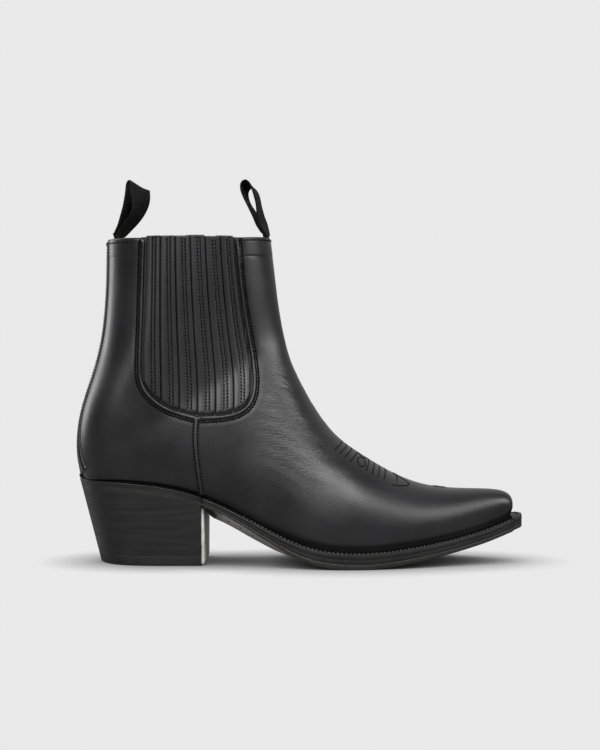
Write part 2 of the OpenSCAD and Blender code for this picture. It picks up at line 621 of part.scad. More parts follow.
// lean is how far the loop's top lies in front of its foot; a higher early leans it lower down.
module pull_loop(foot, half, lean, early, twist) {
  curve = loop_path(half);
  function path(i) = let (p = along(curve, i * (len(curve) - 1) / loop_steps))
    [p[0], p[1] * loop_height];
  function widthways(f) =
    let (w = [for (axis = [1:3]) lookup(f, [for (row = twist) [row[0], row[axis]]])])
    w / norm(w);
  function across_gap(f) = let (g = cross(widthways(f), [0, 0, 1])) g / norm(g);
  function section(i) =
    let (p = path(i),
         run = path(min(loop_steps, i + 1)) - path(max(0, i - 1)),
         f = p[1] / loop_height,
         out = [run[1], -run[0]] / norm(run),
         u = across_gap(f),
         middle = foot + [lean * (1 - pow(1 - min(1, f), early)), 0, 0] + u * p[0] + [0, 0, p[1]],
         thick = (u * out[0] + [0, 0, out[1]]) * webbing_thick / 2,
         wide = widthways(f) * webbing_width / 2)
    [middle - wide + thick, middle + wide + thick, middle + wide - thick, middle - wide - thick];
  rings = [for (i = [0:loop_steps]) section(i)];
  sides = [for (i = [0:loop_steps - 1]) for (j = [0:3])
    let (a = 4 * i + j, b = 4 * i + (j + 1) % 4) each [[b, a, b + 4], [b + 4, a, a + 4]]];
  ends = [[3, 0, 2], [2, 0, 1],
    [4 * loop_steps + 1, 4 * loop_steps, 4 * loop_steps + 2],
    [4 * loop_steps + 2, 4 * loop_steps, 4 * loop_steps + 3]];
  color([0.03, 0.03, 0.03])
    polyhedron([for (r = rings) for (p = r) p], concat(sides, ends));
}
front_inset = 2.6;
front_lean = -11;
front_early = 1.3;
rear_inset = 6;
rear_lean = 12.7;
rear_early = 2;
module pull_loop_front() {
  foot = [(ridge[last_station][0] - front_inset) * size_x, 0, shaft_height + loop_lift];
  pull_loop(foot, front_half, front_lean, front_early, front_twist);
}
module pull_loop_rear() {
  foot = [(base[last_station][0] + rear_inset) * size_x, 0,
    base[last_station][1] * size_z + loop_lift];
  pull_loop(foot, rear_half, rear_lean, rear_early, rear_twist);
}

front_upper();
quarter(1);  // quarter_lateral
quarter(-1);  // quarter_medial
backstay();
seam_strip(1);  // seam_strip_lateral
seam_strip(-1);  // seam_strip_medial
gore_elastic(1);  // gore_elastic_lateral
gore_elastic(-1);  // gore_elastic_medial
gore_strip(0, 1);  // gore_strip_lateral_1
gore_strip(1, 1);  // gore_strip_lateral_2
gore_strip(2, 1);  // gore_strip_lateral_3
gore_strip(3, 1);  // gore_strip_lateral_4
gore_strip(4, 1);  // gore_strip_lateral_5
gore_strip(5, 1);  // gore_strip_lateral_6
gore_strip(0, -1);  // gore_strip_medial_1
gore_strip(1, -1);  // gore_strip_medial_2
gore_strip(2, -1);  // gore_strip_medial_3
gore_strip(3, -1);  // gore_strip_medial_4
gore_strip(4, -1);  // gore_strip_medial_5
gore_strip(5, -1);  // gore_strip_medial_6
front_lining();
quarter_lining(1);  // quarter_lining_lateral
quarter_lining(-1);  // quarter_lining_medial
toe_puff();
heel_counter();
facing(0, 19.2);  // front_facing
facing(180, 19.6);  // rear_facing
loop_anchor(0, anchor_front_turn, puff_depth, 18.8);  // loop_anchor_front
loop_anchor(180, anchor_rear_turn, anchor_rear_depth, 19.3);  // loop_anchor_rear
insole_board();
sock_liner();
cork_filler();
steel_shank();
welt();
heel_rand();
midsole();
outsole();
waist_pegs();
heel_wedge();
heel_lift(0);  // heel_lift_1
heel_lift(1);  // heel_lift_2
heel_lift(2);  // heel_lift_3
heel_lift(3);  // heel_lift_4
heel_lift(4);  // heel_lift_5
top_piece();
heel_breast_cover();
heel_nails();
pull_loop_front();
pull_loop_rear();
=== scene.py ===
"""Western ankle boot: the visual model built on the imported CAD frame."""
import math

import bmesh
import bpy
import numpy as np
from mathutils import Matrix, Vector


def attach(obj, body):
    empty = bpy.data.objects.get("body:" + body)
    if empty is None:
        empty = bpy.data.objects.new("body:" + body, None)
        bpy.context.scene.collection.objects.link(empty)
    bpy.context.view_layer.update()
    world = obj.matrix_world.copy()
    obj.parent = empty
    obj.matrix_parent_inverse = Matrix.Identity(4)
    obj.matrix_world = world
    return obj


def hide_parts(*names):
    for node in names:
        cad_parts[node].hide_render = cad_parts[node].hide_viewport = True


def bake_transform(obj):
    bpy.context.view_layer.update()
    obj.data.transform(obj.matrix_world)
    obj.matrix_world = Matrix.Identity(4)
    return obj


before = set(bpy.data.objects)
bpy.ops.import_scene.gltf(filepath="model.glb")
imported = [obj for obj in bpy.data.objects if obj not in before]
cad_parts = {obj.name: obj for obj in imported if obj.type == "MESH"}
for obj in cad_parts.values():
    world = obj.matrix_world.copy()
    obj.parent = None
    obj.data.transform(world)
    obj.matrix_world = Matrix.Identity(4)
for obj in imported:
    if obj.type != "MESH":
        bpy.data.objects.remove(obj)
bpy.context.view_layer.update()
rng = np.random.default_rng(7)
MM = 0.001
BOOT = "boot"

# --- the boot's form, in mm
RIDGE = [[131.6, 28], [133.2, 36.5], [130.2, 43], [118, 45.2], [98, 45.6], [76, 48.4],
         [56, 56.6], [38, 67.6], [22, 79.3], [8.5, 97.5], [-0.5, 114], [-5.3, 124.5], [-8, 133],
         [-9.6, 139.5], [-11, 146], [-12.2, 152.5], [-13.4, 159.5], [-14.5, 167],
         [-15.7, 177], [-17.2, 190], [-18.8, 202.8]]
BASE = [[131.6, 28], [129.5, 27], [124.5, 25], [113.5, 21.2], [95, 16.6], [74, 13], [52, 10.3],
        [30, 9.6], [6, 12.6], [-19, 22.6], [-46, 36.6], [-74, 46.4], [-103, 50.6],
        [-127, 52.4], [-136.2, 54], [-139.6, 74], [-136.6, 96], [-129.4, 117.5],
        [-123.6, 141], [-121, 170], [-120.4, 201.5]]
WIDE_LATERAL = [9, 10.6, 13, 18, 26, 34.5, 41, 44, 42.5, 38, 34.5, 33, 32.5, 32.3, 32.2, 32,
                31.6, 31.2, 31, 31.2, 31.8]
WIDE_MEDIAL = [9, 10.8, 13.6, 19.5, 28, 37, 41.5, 40, 35.5, 33, 32.3, 32.2, 32.2, 32.2, 32.2,
               32, 31.6, 31.2, 31, 31.2, 31.8]
FEATHER_LATERAL = [9, 9.6, 11.8, 16.5, 24, 32.5, 39.5, 42.8, 40.5, 34, 29.5, 28.8, 28.5, 20,
                   0, 0, 0, 0, 0, 0, 0]
FEATHER_MEDIAL = [9, 9.8, 12.4, 18, 26.5, 35, 39.5, 36.5, 30, 26, 26.8, 28.5, 28.8, 20, 0, 0,
                  0, 0, 0, 0, 0]
WAISTLINE = [0.5, 0.45, 0.42, 0.38, 0.34, 0.3, 0.27, 0.26, 0.26, 0.28, 0.3, 0.3, 0.28, 0.25,
             0.24, 0.25, 0.28, 0.32, 0.36, 0.41, 0.46]
SQUARENESS = [3, 3, 2.9, 2.6, 2.3, 2.1, 2, 1.95, 1.9, 1.85, 1.85, 1.85, 1.9, 1.9, 1.9, 1.95,
              2, 2.05, 2.1, 2.15, 2.2]
LAST, HEEL = 20, 14


def knots(points):
    p = np.array(points, float)
    q = p.copy()
    q[1:-1] = p[1:-1] + (2 * p[1:-1] - p[:-2] - p[2:]) / 6
    return np.concatenate([[2 * q[0] - q[1]], q, [2 * q[-1] - q[-2]]])


def along(curve, place):
    """A place on a smooth curve; curve comes from knots(), place runs from 0 to its last point."""
    n = len(curve) - 2
    p = np.clip(np.asarray(place, float), 0, n - 1)
    i = np.minimum(np.floor(p).astype(int), n - 2)
    f = p - i
    w = [(1 - f) ** 3 / 6, (3 * f ** 3 - 6 * f ** 2 + 4) / 6,
         (-3 * f ** 3 + 3 * f ** 2 + 3 * f + 1) / 6, f ** 3 / 6]
    if curve.ndim > 1:
        w = [k[..., None] for k in w]
    return sum(w[k] * curve[i + k] for k in range(4))


STATIONS = knots(np.column_stack([RIDGE, BASE, WIDE_LATERAL, WIDE_MEDIAL, FEATHER_LATERAL,
                                  FEATHER_MEDIAL, WAISTLINE, SQUARENESS]))


def form(s, turn):
    """Point of the form's skin at a station and a turn, as in the CAD source."""
    s, turn = np.broadcast_arrays(np.asarray(s, float), np.asarray(turn, float))
    row = along(STATIONS, s)
    over = np.where(s >= HEEL, np.where(turn > 180, turn - 360, turn), np.minimum(turn, 180))
    turn = np.where(s >= HEEL, np.where(over < -180, over + 360, over), np.maximum(over, -180))
    lateral = turn >= 0
    a = np.radians(np.abs(turn))
    width = np.where(lateral, row[..., 4], row[..., 5])
    foot = np.maximum(np.where(lateral, row[..., 6], row[..., 7]), 0)
    upper = np.abs(turn) <= 90
    power = np.where(upper, 2 / row[..., 9], 1.0)
    across = np.abs(np.sin(a)) ** power
    up = np.abs(np.cos(a)) ** power
    y = np.where(upper, width * across, foot + (width - foot) * across)
    h = np.where(upper, row[..., 8] + (1 - row[..., 8]) * up, row[..., 8] - row[..., 8] * up)
    return np.stack([row[..., 2] + (row[..., 0] - row[..., 2]) * h, np.where(lateral, -y, y),
                     row[..., 3] + (row[..., 1] - row[..., 3]) * h], -1)


def normals(s, turn):
    ds, dt = 0.06, 1.0
    ahead = form(s + ds, turn) - form(s - ds, turn)
    return unit(np.cross(ahead, form(s, turn + dt) - form(s, turn - dt)))


def skin(s, turn, depth=0.0):
    s, turn = np.broadcast_arrays(np.asarray(s, float), np.asarray(turn, float))
    row = along(STATIONS, s)
    height = np.hypot(row[..., 0] - row[..., 2], row[..., 1] - row[..., 3])
    share = np.minimum(1, height / 14)
    return form(s, turn) - normals(s, turn) * (np.asarray(depth) * share)[..., None]


def flank(x, z):
    """Station and turn of a place on the lateral side, from its x and z."""
    x, z = np.broadcast_arrays(np.asarray(x, float), np.asarray(z, float))
    low, high = np.full(x.shape, 1.0), np.full(x.shape, float(LAST))
    for _ in range(26):
        mid = (low + high) / 2
        row = along(STATIONS, mid)
        over = (x - row[..., 2]) * (row[..., 1] - row[..., 3]) \
            - (z - row[..., 3]) * (row[..., 0] - row[..., 2]) > 0
        high, low = np.where(over, mid, high), np.where(over, low, mid)
    s = (low + high) / 2
    row = along(STATIONS, s)
    rx, rz = row[..., 0] - row[..., 2], row[..., 1] - row[..., 3]
    h = np.clip(((x - row[..., 2]) * rx + (z - row[..., 3]) * rz) / (rx * rx + rz * rz), 0, 1)
    level = row[..., 8]
    up = np.clip((h - level) / (1 - level), 0, 1) ** (row[..., 9] / 2)
    down = np.clip((level - h) / level, 0, 1)
    turn = np.where(h >= level, np.degrees(np.arccos(np.clip(up, 0, 1))),
                    180 - np.degrees(np.arccos(down)))
    return np.stack([s, turn], -1)


GORE_FRONT = knots([[-39.3, 200.2], [-37.3, 175], [-33.4, 147], [-29.6, 124], [-29, 109],
                    [-31.8, 99.5], [-39, 94], [-50, 91.9], [-61.5, 91.6]])
GORE_REAR = knots([[-95.2, 199.2], [-96, 165], [-96.7, 128], [-96, 114], [-91.8, 105.5],
                   [-83, 98.3], [-73, 94], [-64, 91.6]])
SEAM = knots([[-62.8, 91.4], [-63.6, 80], [-62.5, 65], [-59.6, 43.2]])


def flank_curve(curve, f, shift=0.0):
    p = along(curve, np.asarray(f, float) * (len(curve) - 3))
    return flank(p[..., 0] + shift, p[..., 1])


def top_line(turn):
    turn = np.asarray(turn, float)
    a = np.radians(turn)
    return np.stack([LAST - 0.2 * np.sin(a) ** 2 * (0.45 + 0.4 * np.cos(a)), turn], -1)


def mix(a, b, f):
    return a + (b - a) * f


def spans(*runs):
    """Even places, run after run; each run is (first, last, count) and starts where one ends."""
    return np.concatenate([np.linspace(*run)[:-1] for run in runs[:-1]] + [np.linspace(*runs[-1])])


def smooth(x, low, high):
    t = np.clip((np.asarray(x, float) - low) / (high - low), 0, 1)
    return t * t * (3 - 2 * t)


def unit(v):
    return v / np.maximum(np.linalg.norm(v, axis=-1, keepdims=True), 1e-9)


def soft_lookup(x, table, spread):
    t = np.array(table, float)
    x = np.asarray(x, float)
    return sum(np.interp(x + k * spread, t[:, 0], t[:, 1])
               for k in (-1, -0.6, -0.2, 0.2, 0.6, 1)) / 6


# --- mesh helpers
def link_new(name, data):
    obj = bpy.data.objects.new(name, data)
    bpy.context.scene.collection.objects.link(obj)
    return obj


def new_object(name, verts, faces, material, uv=None):
    mesh = bpy.data.meshes.new(name)
    mesh.from_pydata(np.asarray(verts, float) * MM, [], [tuple(f) for f in faces])
    if uv is not None:
        layer = mesh.uv_layers.new(name="UVMap")
        loops = np.zeros(len(mesh.loops), np.int64)
        mesh.loops.foreach_get("vertex_index", loops)
        layer.data.foreach_set("uv", np.asarray(uv, float)[loops].ravel())
    shape = bmesh.new()
    shape.from_mesh(mesh)
    bmesh.ops.remove_doubles(shape, verts=shape.verts, dist=1e-6)
    bmesh.ops.recalc_face_normals(shape, faces=shape.faces)
    shape.to_mesh(mesh)
    shape.free()
    mesh.polygons.foreach_set("use_smooth", [True] * len(mesh.polygons))
    mesh.materials.append(material)
    mesh.update()
    return link_new(name, mesh)


def ring_faces(rings, around, start=0):
    """Quads that join closed rings of points, ring after ring."""
    i, j = np.meshgrid(np.arange(rings - 1), np.arange(around), indexing="ij")
    a, b = start + i * around + j, start + i * around + (j + 1) % around
    return np.stack([a, b, b + around, a + around], -1).reshape(-1, 4).tolist()


def ringed_object(name, rings, material, uv=None):
    """A tube through closed rings of points, with flat ends."""
    n, m = rings.shape[:2]
    faces = ring_faces(n, m) + [list(range(m)), list(range((n - 1) * m, n * m))]
    return new_object(name, rings.reshape(-1, 3), faces, material, uv)


def grid_faces(rows, cols, start=0, flip=False):
    r, c = np.meshgrid(np.arange(rows - 1), np.arange(cols - 1), indexing="ij")
    a = (start + r * cols + c).ravel()
    quads = np.stack([a, a + 1, a + cols + 1, a + cols], 1)
    return quads[:, ::-1] if flip else quads


def shell_object(name, outer, inner, material, uv=None):
    """A closed sheet between two grids of points."""
    rows, cols = outer.shape[:2]
    half = rows * cols
    verts = np.concatenate([outer.reshape(-1, 3), inner.reshape(-1, 3)])
    i = np.arange(half).reshape(rows, cols)
    border = np.concatenate([i[0, :-1], i[:-1, -1], i[-1, :0:-1], i[:0:-1, 0]])
    nxt = np.roll(border, -1)
    rim = np.stack([nxt, border, border + half, nxt + half], 1)
    faces = np.concatenate([grid_faces(rows, cols), grid_faces(rows, cols, half, True), rim])
    return new_object(name, verts, faces, material,
                      None if uv is None else np.concatenate([uv.reshape(-1, 2)] * 2))


def lengths(points):
    """Distance run at each point of a line."""
    return np.concatenate([[0], np.cumsum(np.linalg.norm(np.diff(points, axis=0), axis=1))])

def run_length(points, axis):
    step = np.linalg.norm(np.diff(points, axis=axis), axis=-1)
    pad = [(0, 0), (0, 0)]
    pad[axis] = (1, 0)
    return np.pad(np.cumsum(step, axis=axis), pad)


def edge_distances(points):
    """Distance of each grid point from the four edges: rows 0 and last, columns 0 and last."""
    down, side = run_length(points, 0), run_length(points, 1)
    return down, down[-1:] - down, side, side[:, -1:] - side


def rounded(distance, radius, drop):
    """Depth that rounds an edge over towards the inside."""
    t = np.clip(1 - distance / radius, 0, 1)
    return drop * (1 - np.sqrt(np.clip(1 - t * t, 0, 1)))


def leather_sheet(name, grid, thickness, material, depth=0.0, relief=None, radius=0.7):
    """A leather piece over a grid of [station, turn], with rounded cut edges."""
    s, turn = grid[..., 0], grid[..., 1]
    base = skin(s, turn, depth)
    d = edge_distances(base)
    down = rounded(np.min(d, axis=0), radius, thickness * 0.75)
    lift = 0 * s if relief is None else relief(base, d)
    outer = skin(s, turn, depth + down - lift)
    inner = skin(s, turn, depth + thickness - np.minimum(lift, 0))
    return shell_object(name, outer, inner, material, np.stack([d[2], d[0]], -1) * MM)


# --- materials
def grey(level):
    return level, level, level


def fill(tree, node, values):
    """Fill a node's sockets, each from a value or from another node's output."""
    for key, value in values.items():
        if isinstance(value, bpy.types.NodeSocket):
            tree.links.new(value, node.inputs[key])
        else:
            node.inputs[key].default_value = value


def add_node(tree, kind, values=None, **settings):
    node = tree.nodes.new("ShaderNode" + kind)
    for key, value in settings.items():
        setattr(node, key, value)
    fill(tree, node, values or {})
    return node


class Shader:
    """A Principled material with short ways to add nodes."""

    def __init__(self, name, color, rough, **sockets):
        self.material = bpy.data.materials.new(name)
        self.material.use_nodes = True
        self.tree = self.material.node_tree
        self.surface = self.tree.nodes["Principled BSDF"]
        self.set(Base_Color=(*color, 1), Roughness=rough, **sockets)
        self.where = self.add("TexCoord")

    def add(self, kind, values=None, **settings):
        return add_node(self.tree, kind, values, **settings)

    def set(self, **sockets):
        fill(self.tree, self.surface, {k.replace("_", " "): v for k, v in sockets.items()})

    def coords(self, stretch=None, kind="Object"):
        where = self.where.outputs[kind]
        if stretch is None:
            return where
        return self.add("Mapping", {"Scale": stretch, "Vector": where}).outputs["Vector"]

    def axes(self, vector):
        return self.add("SeparateXYZ", {0: vector}).outputs

    def noise(self, scale, detail=3.0, stretch=None, rough=0.5, swirl=0.0):
        return self.add("TexNoise", {"Scale": scale, "Detail": detail, "Roughness": rough,
                                     "Distortion": swirl,
                                     "Vector": self.coords(stretch)}).outputs["Fac"]

    def ramp(self, value, low, high, a, b):
        """value eased from the range low to high into a to b."""
        return self.add("MapRange", {"Value": value, "From Min": low, "From Max": high,
                                     "To Min": a, "To Max": b},
                        interpolation_type="SMOOTHSTEP").outputs["Result"]

    def math(self, kind, *values):
        return self.add("Math", dict(enumerate(values)), operation=kind).outputs[0]

    def times(self, a, b):
        return self.math("MULTIPLY", a, b)

    def blend(self, factor, a, b):
        return self.add("Mix", {0: factor, 6: (*a, 1), 7: (*b, 1)}, data_type="RGBA")

    def colour(self, factor, a, b):
        n = self.blend(factor, a, b)
        self.set(Base_Color=n.outputs[2])
        return n

    def bump(self, *layers):
        """Finish with layers of (height, distance in metres, strength), the coarsest first."""
        normal = {}
        for height, distance, strength in layers:
            n = self.add("Bump", {"Distance": distance, "Strength": strength,
                                  "Height": height, **normal})
            normal = {"Normal": n.outputs["Normal"]}
        self.set(**normal)
        return self.material


def calf(name, dark, light, rough, grain=1.0, mottle=1.0, flex=0.0):
    """Smooth aniline calf: faint pebble, pores, soft mottling and burnish.

    flex adds the fine wrinkles that the leather has where the ankle bends.
    """
    m = Shader(name, dark, rough, Specular_IOR_Level=0.42, IOR=1.5)
    cloud = m.noise(28, 3.5, rough=0.55)
    pebble = m.add("TexVoronoi", {"Scale": 1500, "Vector": m.coords()}).outputs["Distance"]
    pores = m.noise(2600, 2.5, rough=0.6)
    crease = m.noise(190, 4, stretch=(1.0, 1.0, 0.45), rough=0.6)
    m.colour(m.ramp(cloud, 0.3, 0.72, 0, 1), dark, light)
    burnish = m.ramp(cloud, 0.25, 0.75, rough - 0.05 * mottle, rough + 0.06 * mottle)
    m.set(Roughness=m.math("ADD", burnish, m.ramp(pores, 0.35, 0.75, -0.03, 0.05)))
    layers = [(crease, 0.00022 * mottle, 0.35), (pebble, 0.00005 * grain, 0.5),
              (pores, 0.00003 * grain, 0.45)]
    if flex:
        x, _, z = m.axes(m.coords())
        place = m.times(m.ramp(x, -0.034, -0.014, 0, 1), m.ramp(x, 0.02, 0.06, 1, 0))
        level = m.times(m.ramp(z, 0.045, 0.07, 0, 1), m.ramp(z, 0.118, 0.145, 1, 0))
        wrinkle = m.noise(1.0, 3, stretch=(230, 170, 900), rough=0.5, swirl=1.0)
        fold = m.noise(1.0, 2, stretch=(45, 40, 190), rough=0.5, swirl=0.8)
        both = m.math("ADD", wrinkle, m.times(fold, 0.5))
        share = m.times(place, level)
        layers.insert(0, (m.times(both, share), 0.0002 * flex, 0.75))
    return m.bump(*layers)


def thread_material(name, dark, light, shine=0.3):
    m = Shader(name, dark, 0.6, Specular_IOR_Level=shine)
    ply = m.noise(5200, 2, stretch=(1, 1, 2.2))
    m.colour(ply, dark, light)
    return m.bump((ply, 0.00006, 0.6))


def webbing_material(name):
    """Black herringbone tape. The texture's first axis runs across the tape, in metres."""
    m = Shader(name, grey(0.008), 0.8, Specular_IOR_Level=0.07, Sheen_Weight=0.02)
    x, y, _ = m.axes(m.coords(kind="UV"))
    zigzag = m.times(m.math("PINGPONG", x, 0.002), 1.1)
    ribs = m.math("SINE", m.times(m.math("ADD", y, zigzag), 4000.0))
    fuzz = m.noise(3000, 2)
    rib_share = m.ramp(ribs, -0.9, 0.9, 0, 1)
    m.colour(m.times(rib_share, m.ramp(fuzz, 0.3, 0.7, 0.4, 1.0)), grey(0.0012),
             (0.011, 0.0105, 0.01))
    return m.bump((rib_share, 0.0005, 0.9), (fuzz, 0.00008, 0.5))


def elastic_material(name):
    m = Shader(name, grey(0.01), 0.8, Specular_IOR_Level=0.25)
    ribs = m.math("SINE", m.times(m.noise(420, 1, stretch=(1, 0.01, 0.02)), 40.0))
    m.colour(m.ramp(ribs, -1, 1, 0, 1), grey(0.006), grey(0.03))
    return m.bump((ribs, 0.0003, 0.6), (m.noise(2500, 2), 0.0001, 0.5))


def heel_material(name, dark, light, rough):
    """Blacked and waxed stack: fine level lines, burnishing streaks and small nicks."""
    m = Shader(name, dark, rough, Specular_IOR_Level=0.31)
    lines = m.noise(1.0, 3, stretch=(25, 25, 2100), rough=0.65)
    streak = m.noise(1.0, 2, stretch=(40, 40, 420), rough=0.5)
    speck = m.noise(900, 2, rough=0.6)
    m.colour(m.times(m.ramp(lines, 0.35, 0.7, 0, 1), m.ramp(streak, 0.3, 0.7, 0.3, 1)), dark,
             light)
    m.set(Roughness=m.math("ADD", m.ramp(streak, 0.3, 0.7, rough - 0.06, rough + 0.08),
                           m.ramp(speck, 0.4, 0.8, 0.0, 0.05)))
    return m.bump((lines, 0.00005, 0.5), (speck, 0.00004, 0.4))


def edge_material(name, dark, light, rough):
    """Inked and waxed sole edge."""
    m = Shader(name, dark, rough, Specular_IOR_Level=0.24)
    fibre = m.noise(1.0, 3, stretch=(160, 160, 1500), rough=0.6)
    cloud = m.noise(70, 3)
    m.colour(m.times(fibre, m.ramp(cloud, 0.3, 0.7, 0.4, 1)), dark, light)
    m.set(Roughness=m.ramp(cloud, 0.3, 0.7, rough - 0.06, rough + 0.1))
    return m.bump((fibre, 0.00012, 0.5), (m.noise(1600, 2), 0.00006, 0.4))


def outsole_material(name):
    """Oak-tanned outsole: inked edge, burnished tan underside, darker where it turns over."""
    m = Shader(name, (0.3, 0.17, 0.08), 0.5, Specular_IOR_Level=0.35)
    facing_up = m.axes(m.add("NewGeometry").outputs["Normal"])["Z"]
    under = m.ramp(m.times(facing_up, -1.0), 0.35, 0.8, 0, 1)
    grain = m.noise(240, 4, rough=0.65)
    scuff = m.noise(1.0, 3, stretch=(60, 500, 60), rough=0.6)
    tan = m.blend(m.times(m.ramp(grain, 0.3, 0.7, 0.2, 1), m.ramp(scuff, 0.3, 0.7, 0.6, 1)),
                  (0.55, 0.51, 0.44), (0.8, 0.76, 0.68))
    wander = m.math("MULTIPLY_ADD", m.noise(60, 2), 0.008, m.axes(m.coords())["X"])
    bare = m.times(m.ramp(wander, -0.05, -0.043, 0, 1), m.ramp(wander, -0.014, 0.012, 1, 0.12))
    mixed = m.colour(m.times(under, bare), (0.011, 0.0105, 0.01), (0.3, 0.17, 0.08))
    fill(m.tree, mixed, {7: tan.outputs[2]})
    m.set(Roughness=m.ramp(grain, 0.3, 0.7, 0.38, 0.6))
    return m.bump((grain, 0.00012, 0.5), (scuff, 0.00006, 0.3))


def natural_material(name, dark, light, rough, stretch=(1, 1, 1)):
    """Undyed leather, board, cork or wood, by its two tones and the way its fibres run."""
    m = Shader(name, dark, rough, Specular_IOR_Level=0.3)
    grain = m.noise(420, 4, stretch=stretch, rough=0.62)
    spot = m.noise(2200, 2)
    m.colour(m.ramp(grain, 0.3, 0.72, 0, 1), dark, light)
    m.set(Roughness=m.ramp(spot, 0.3, 0.7, rough - 0.06, rough + 0.08))
    return m.bump((grain, 0.00015, 0.5), (spot, 0.00008, 0.4))


def steel_material(name):
    m = Shader(name, grey(0.5), 0.35, Metallic=1.0)
    brush = m.noise(1.0, 3, stretch=(100, 3000, 100))
    m.set(Roughness=m.ramp(brush, 0.3, 0.7, 0.25, 0.5))
    return m.bump((brush, 0.00004, 0.5))


def rubber_material(name):
    m = Shader(name, grey(0.011), 0.5, Specular_IOR_Level=0.24)
    speck = m.noise(1300, 3)
    m.colour(m.ramp(speck, 0.35, 0.75, 0, 1), grey(0.008), grey(0.017))
    m.set(Roughness=m.ramp(m.noise(150, 3), 0.3, 0.7, 0.52, 0.72))
    return m.bump((speck, 0.00012, 0.5))


CALF_TONES = (0.0055, 0.0053, 0.006), (0.009, 0.0087, 0.0097)
BLACK_CALF = calf("black_calf", *CALF_TONES, 0.36, flex=1.0)
STRIP_CALF = calf("strip_calf", *CALF_TONES, 0.43, 1.4, 0.6)
TRIM_CALF = calf("trim_calf", (0.0085, 0.0083, 0.009), (0.0125, 0.012, 0.013), 0.46)
LINING = calf("lining_leather", (0.23, 0.15, 0.085), (0.33, 0.225, 0.135), 0.62, 1.6)
SOCK = calf("sock_leather", (0.16, 0.1, 0.055), (0.23, 0.15, 0.09), 0.55, 1.6)
THREAD = thread_material("black_thread", grey(0.0015), grey(0.008), 0.07)
DARK_THREAD = thread_material("ornament_thread", grey(0.002), grey(0.009), 0.08)
# painted shade: near-black for the needle holes, the stitch channels and the crease at the feather
# edge
PAINTED_SHADE_BLACK = thread_material("painted_shade_black", grey(0.0006), grey(0.002), 0.02)
WELT_THREAD = thread_material("welt_thread", grey(0.008), (0.045, 0.043, 0.04))
WEBBING = webbing_material("herringbone_webbing")
ELASTIC = elastic_material("gore_elastic_weave")
HEEL_STACK = heel_material("waxed_heel_stack", (0.0085, 0.0082, 0.0082), (0.0135, 0.013, 0.013),
                           0.42)
SOLE_EDGE = edge_material("inked_sole_edge", (0.007, 0.0067, 0.0067), (0.0125, 0.012, 0.0118),
                          0.44)
RAND_EDGE = edge_material("inked_heel_rand", (0.013, 0.0125, 0.01), (0.04, 0.038, 0.028), 0.42)
OUTSOLE = outsole_material("oak_outsole")
BREAST = natural_material("natural_breast_leather", (0.4, 0.385, 0.35), (0.74, 0.73, 0.69), 0.62,
                          (0.4, 0.4, 0.25))
BOARD = natural_material("fibre_board", (0.36, 0.26, 0.16), (0.5, 0.38, 0.25), 0.8)
CORK = natural_material("cork_grain", (0.3, 0.18, 0.09), (0.55, 0.38, 0.22), 0.85)
PEG_WOOD = natural_material("stained_peg_wood", (0.008, 0.006, 0.005), (0.025, 0.018, 0.013), 0.5,
                            (1, 1, 4))
STEEL = steel_material("brushed_steel")
RUBBER = rubber_material("moulded_rubber")


# --- threads
def polyline(points, step, start):
    """Even places along a line of points: (places, directions, parameter of each place)."""
    length = lengths(points)
    at = np.arange(start, length[-1], step)

    def place(where):
        return np.stack([np.interp(where, length, points[:, k]) for k in range(3)], 1)
    run = unit(place(at + 0.3) - place(at - 0.3))
    return place(at), run, np.interp(at, length, np.linspace(0, 1, len(points)))


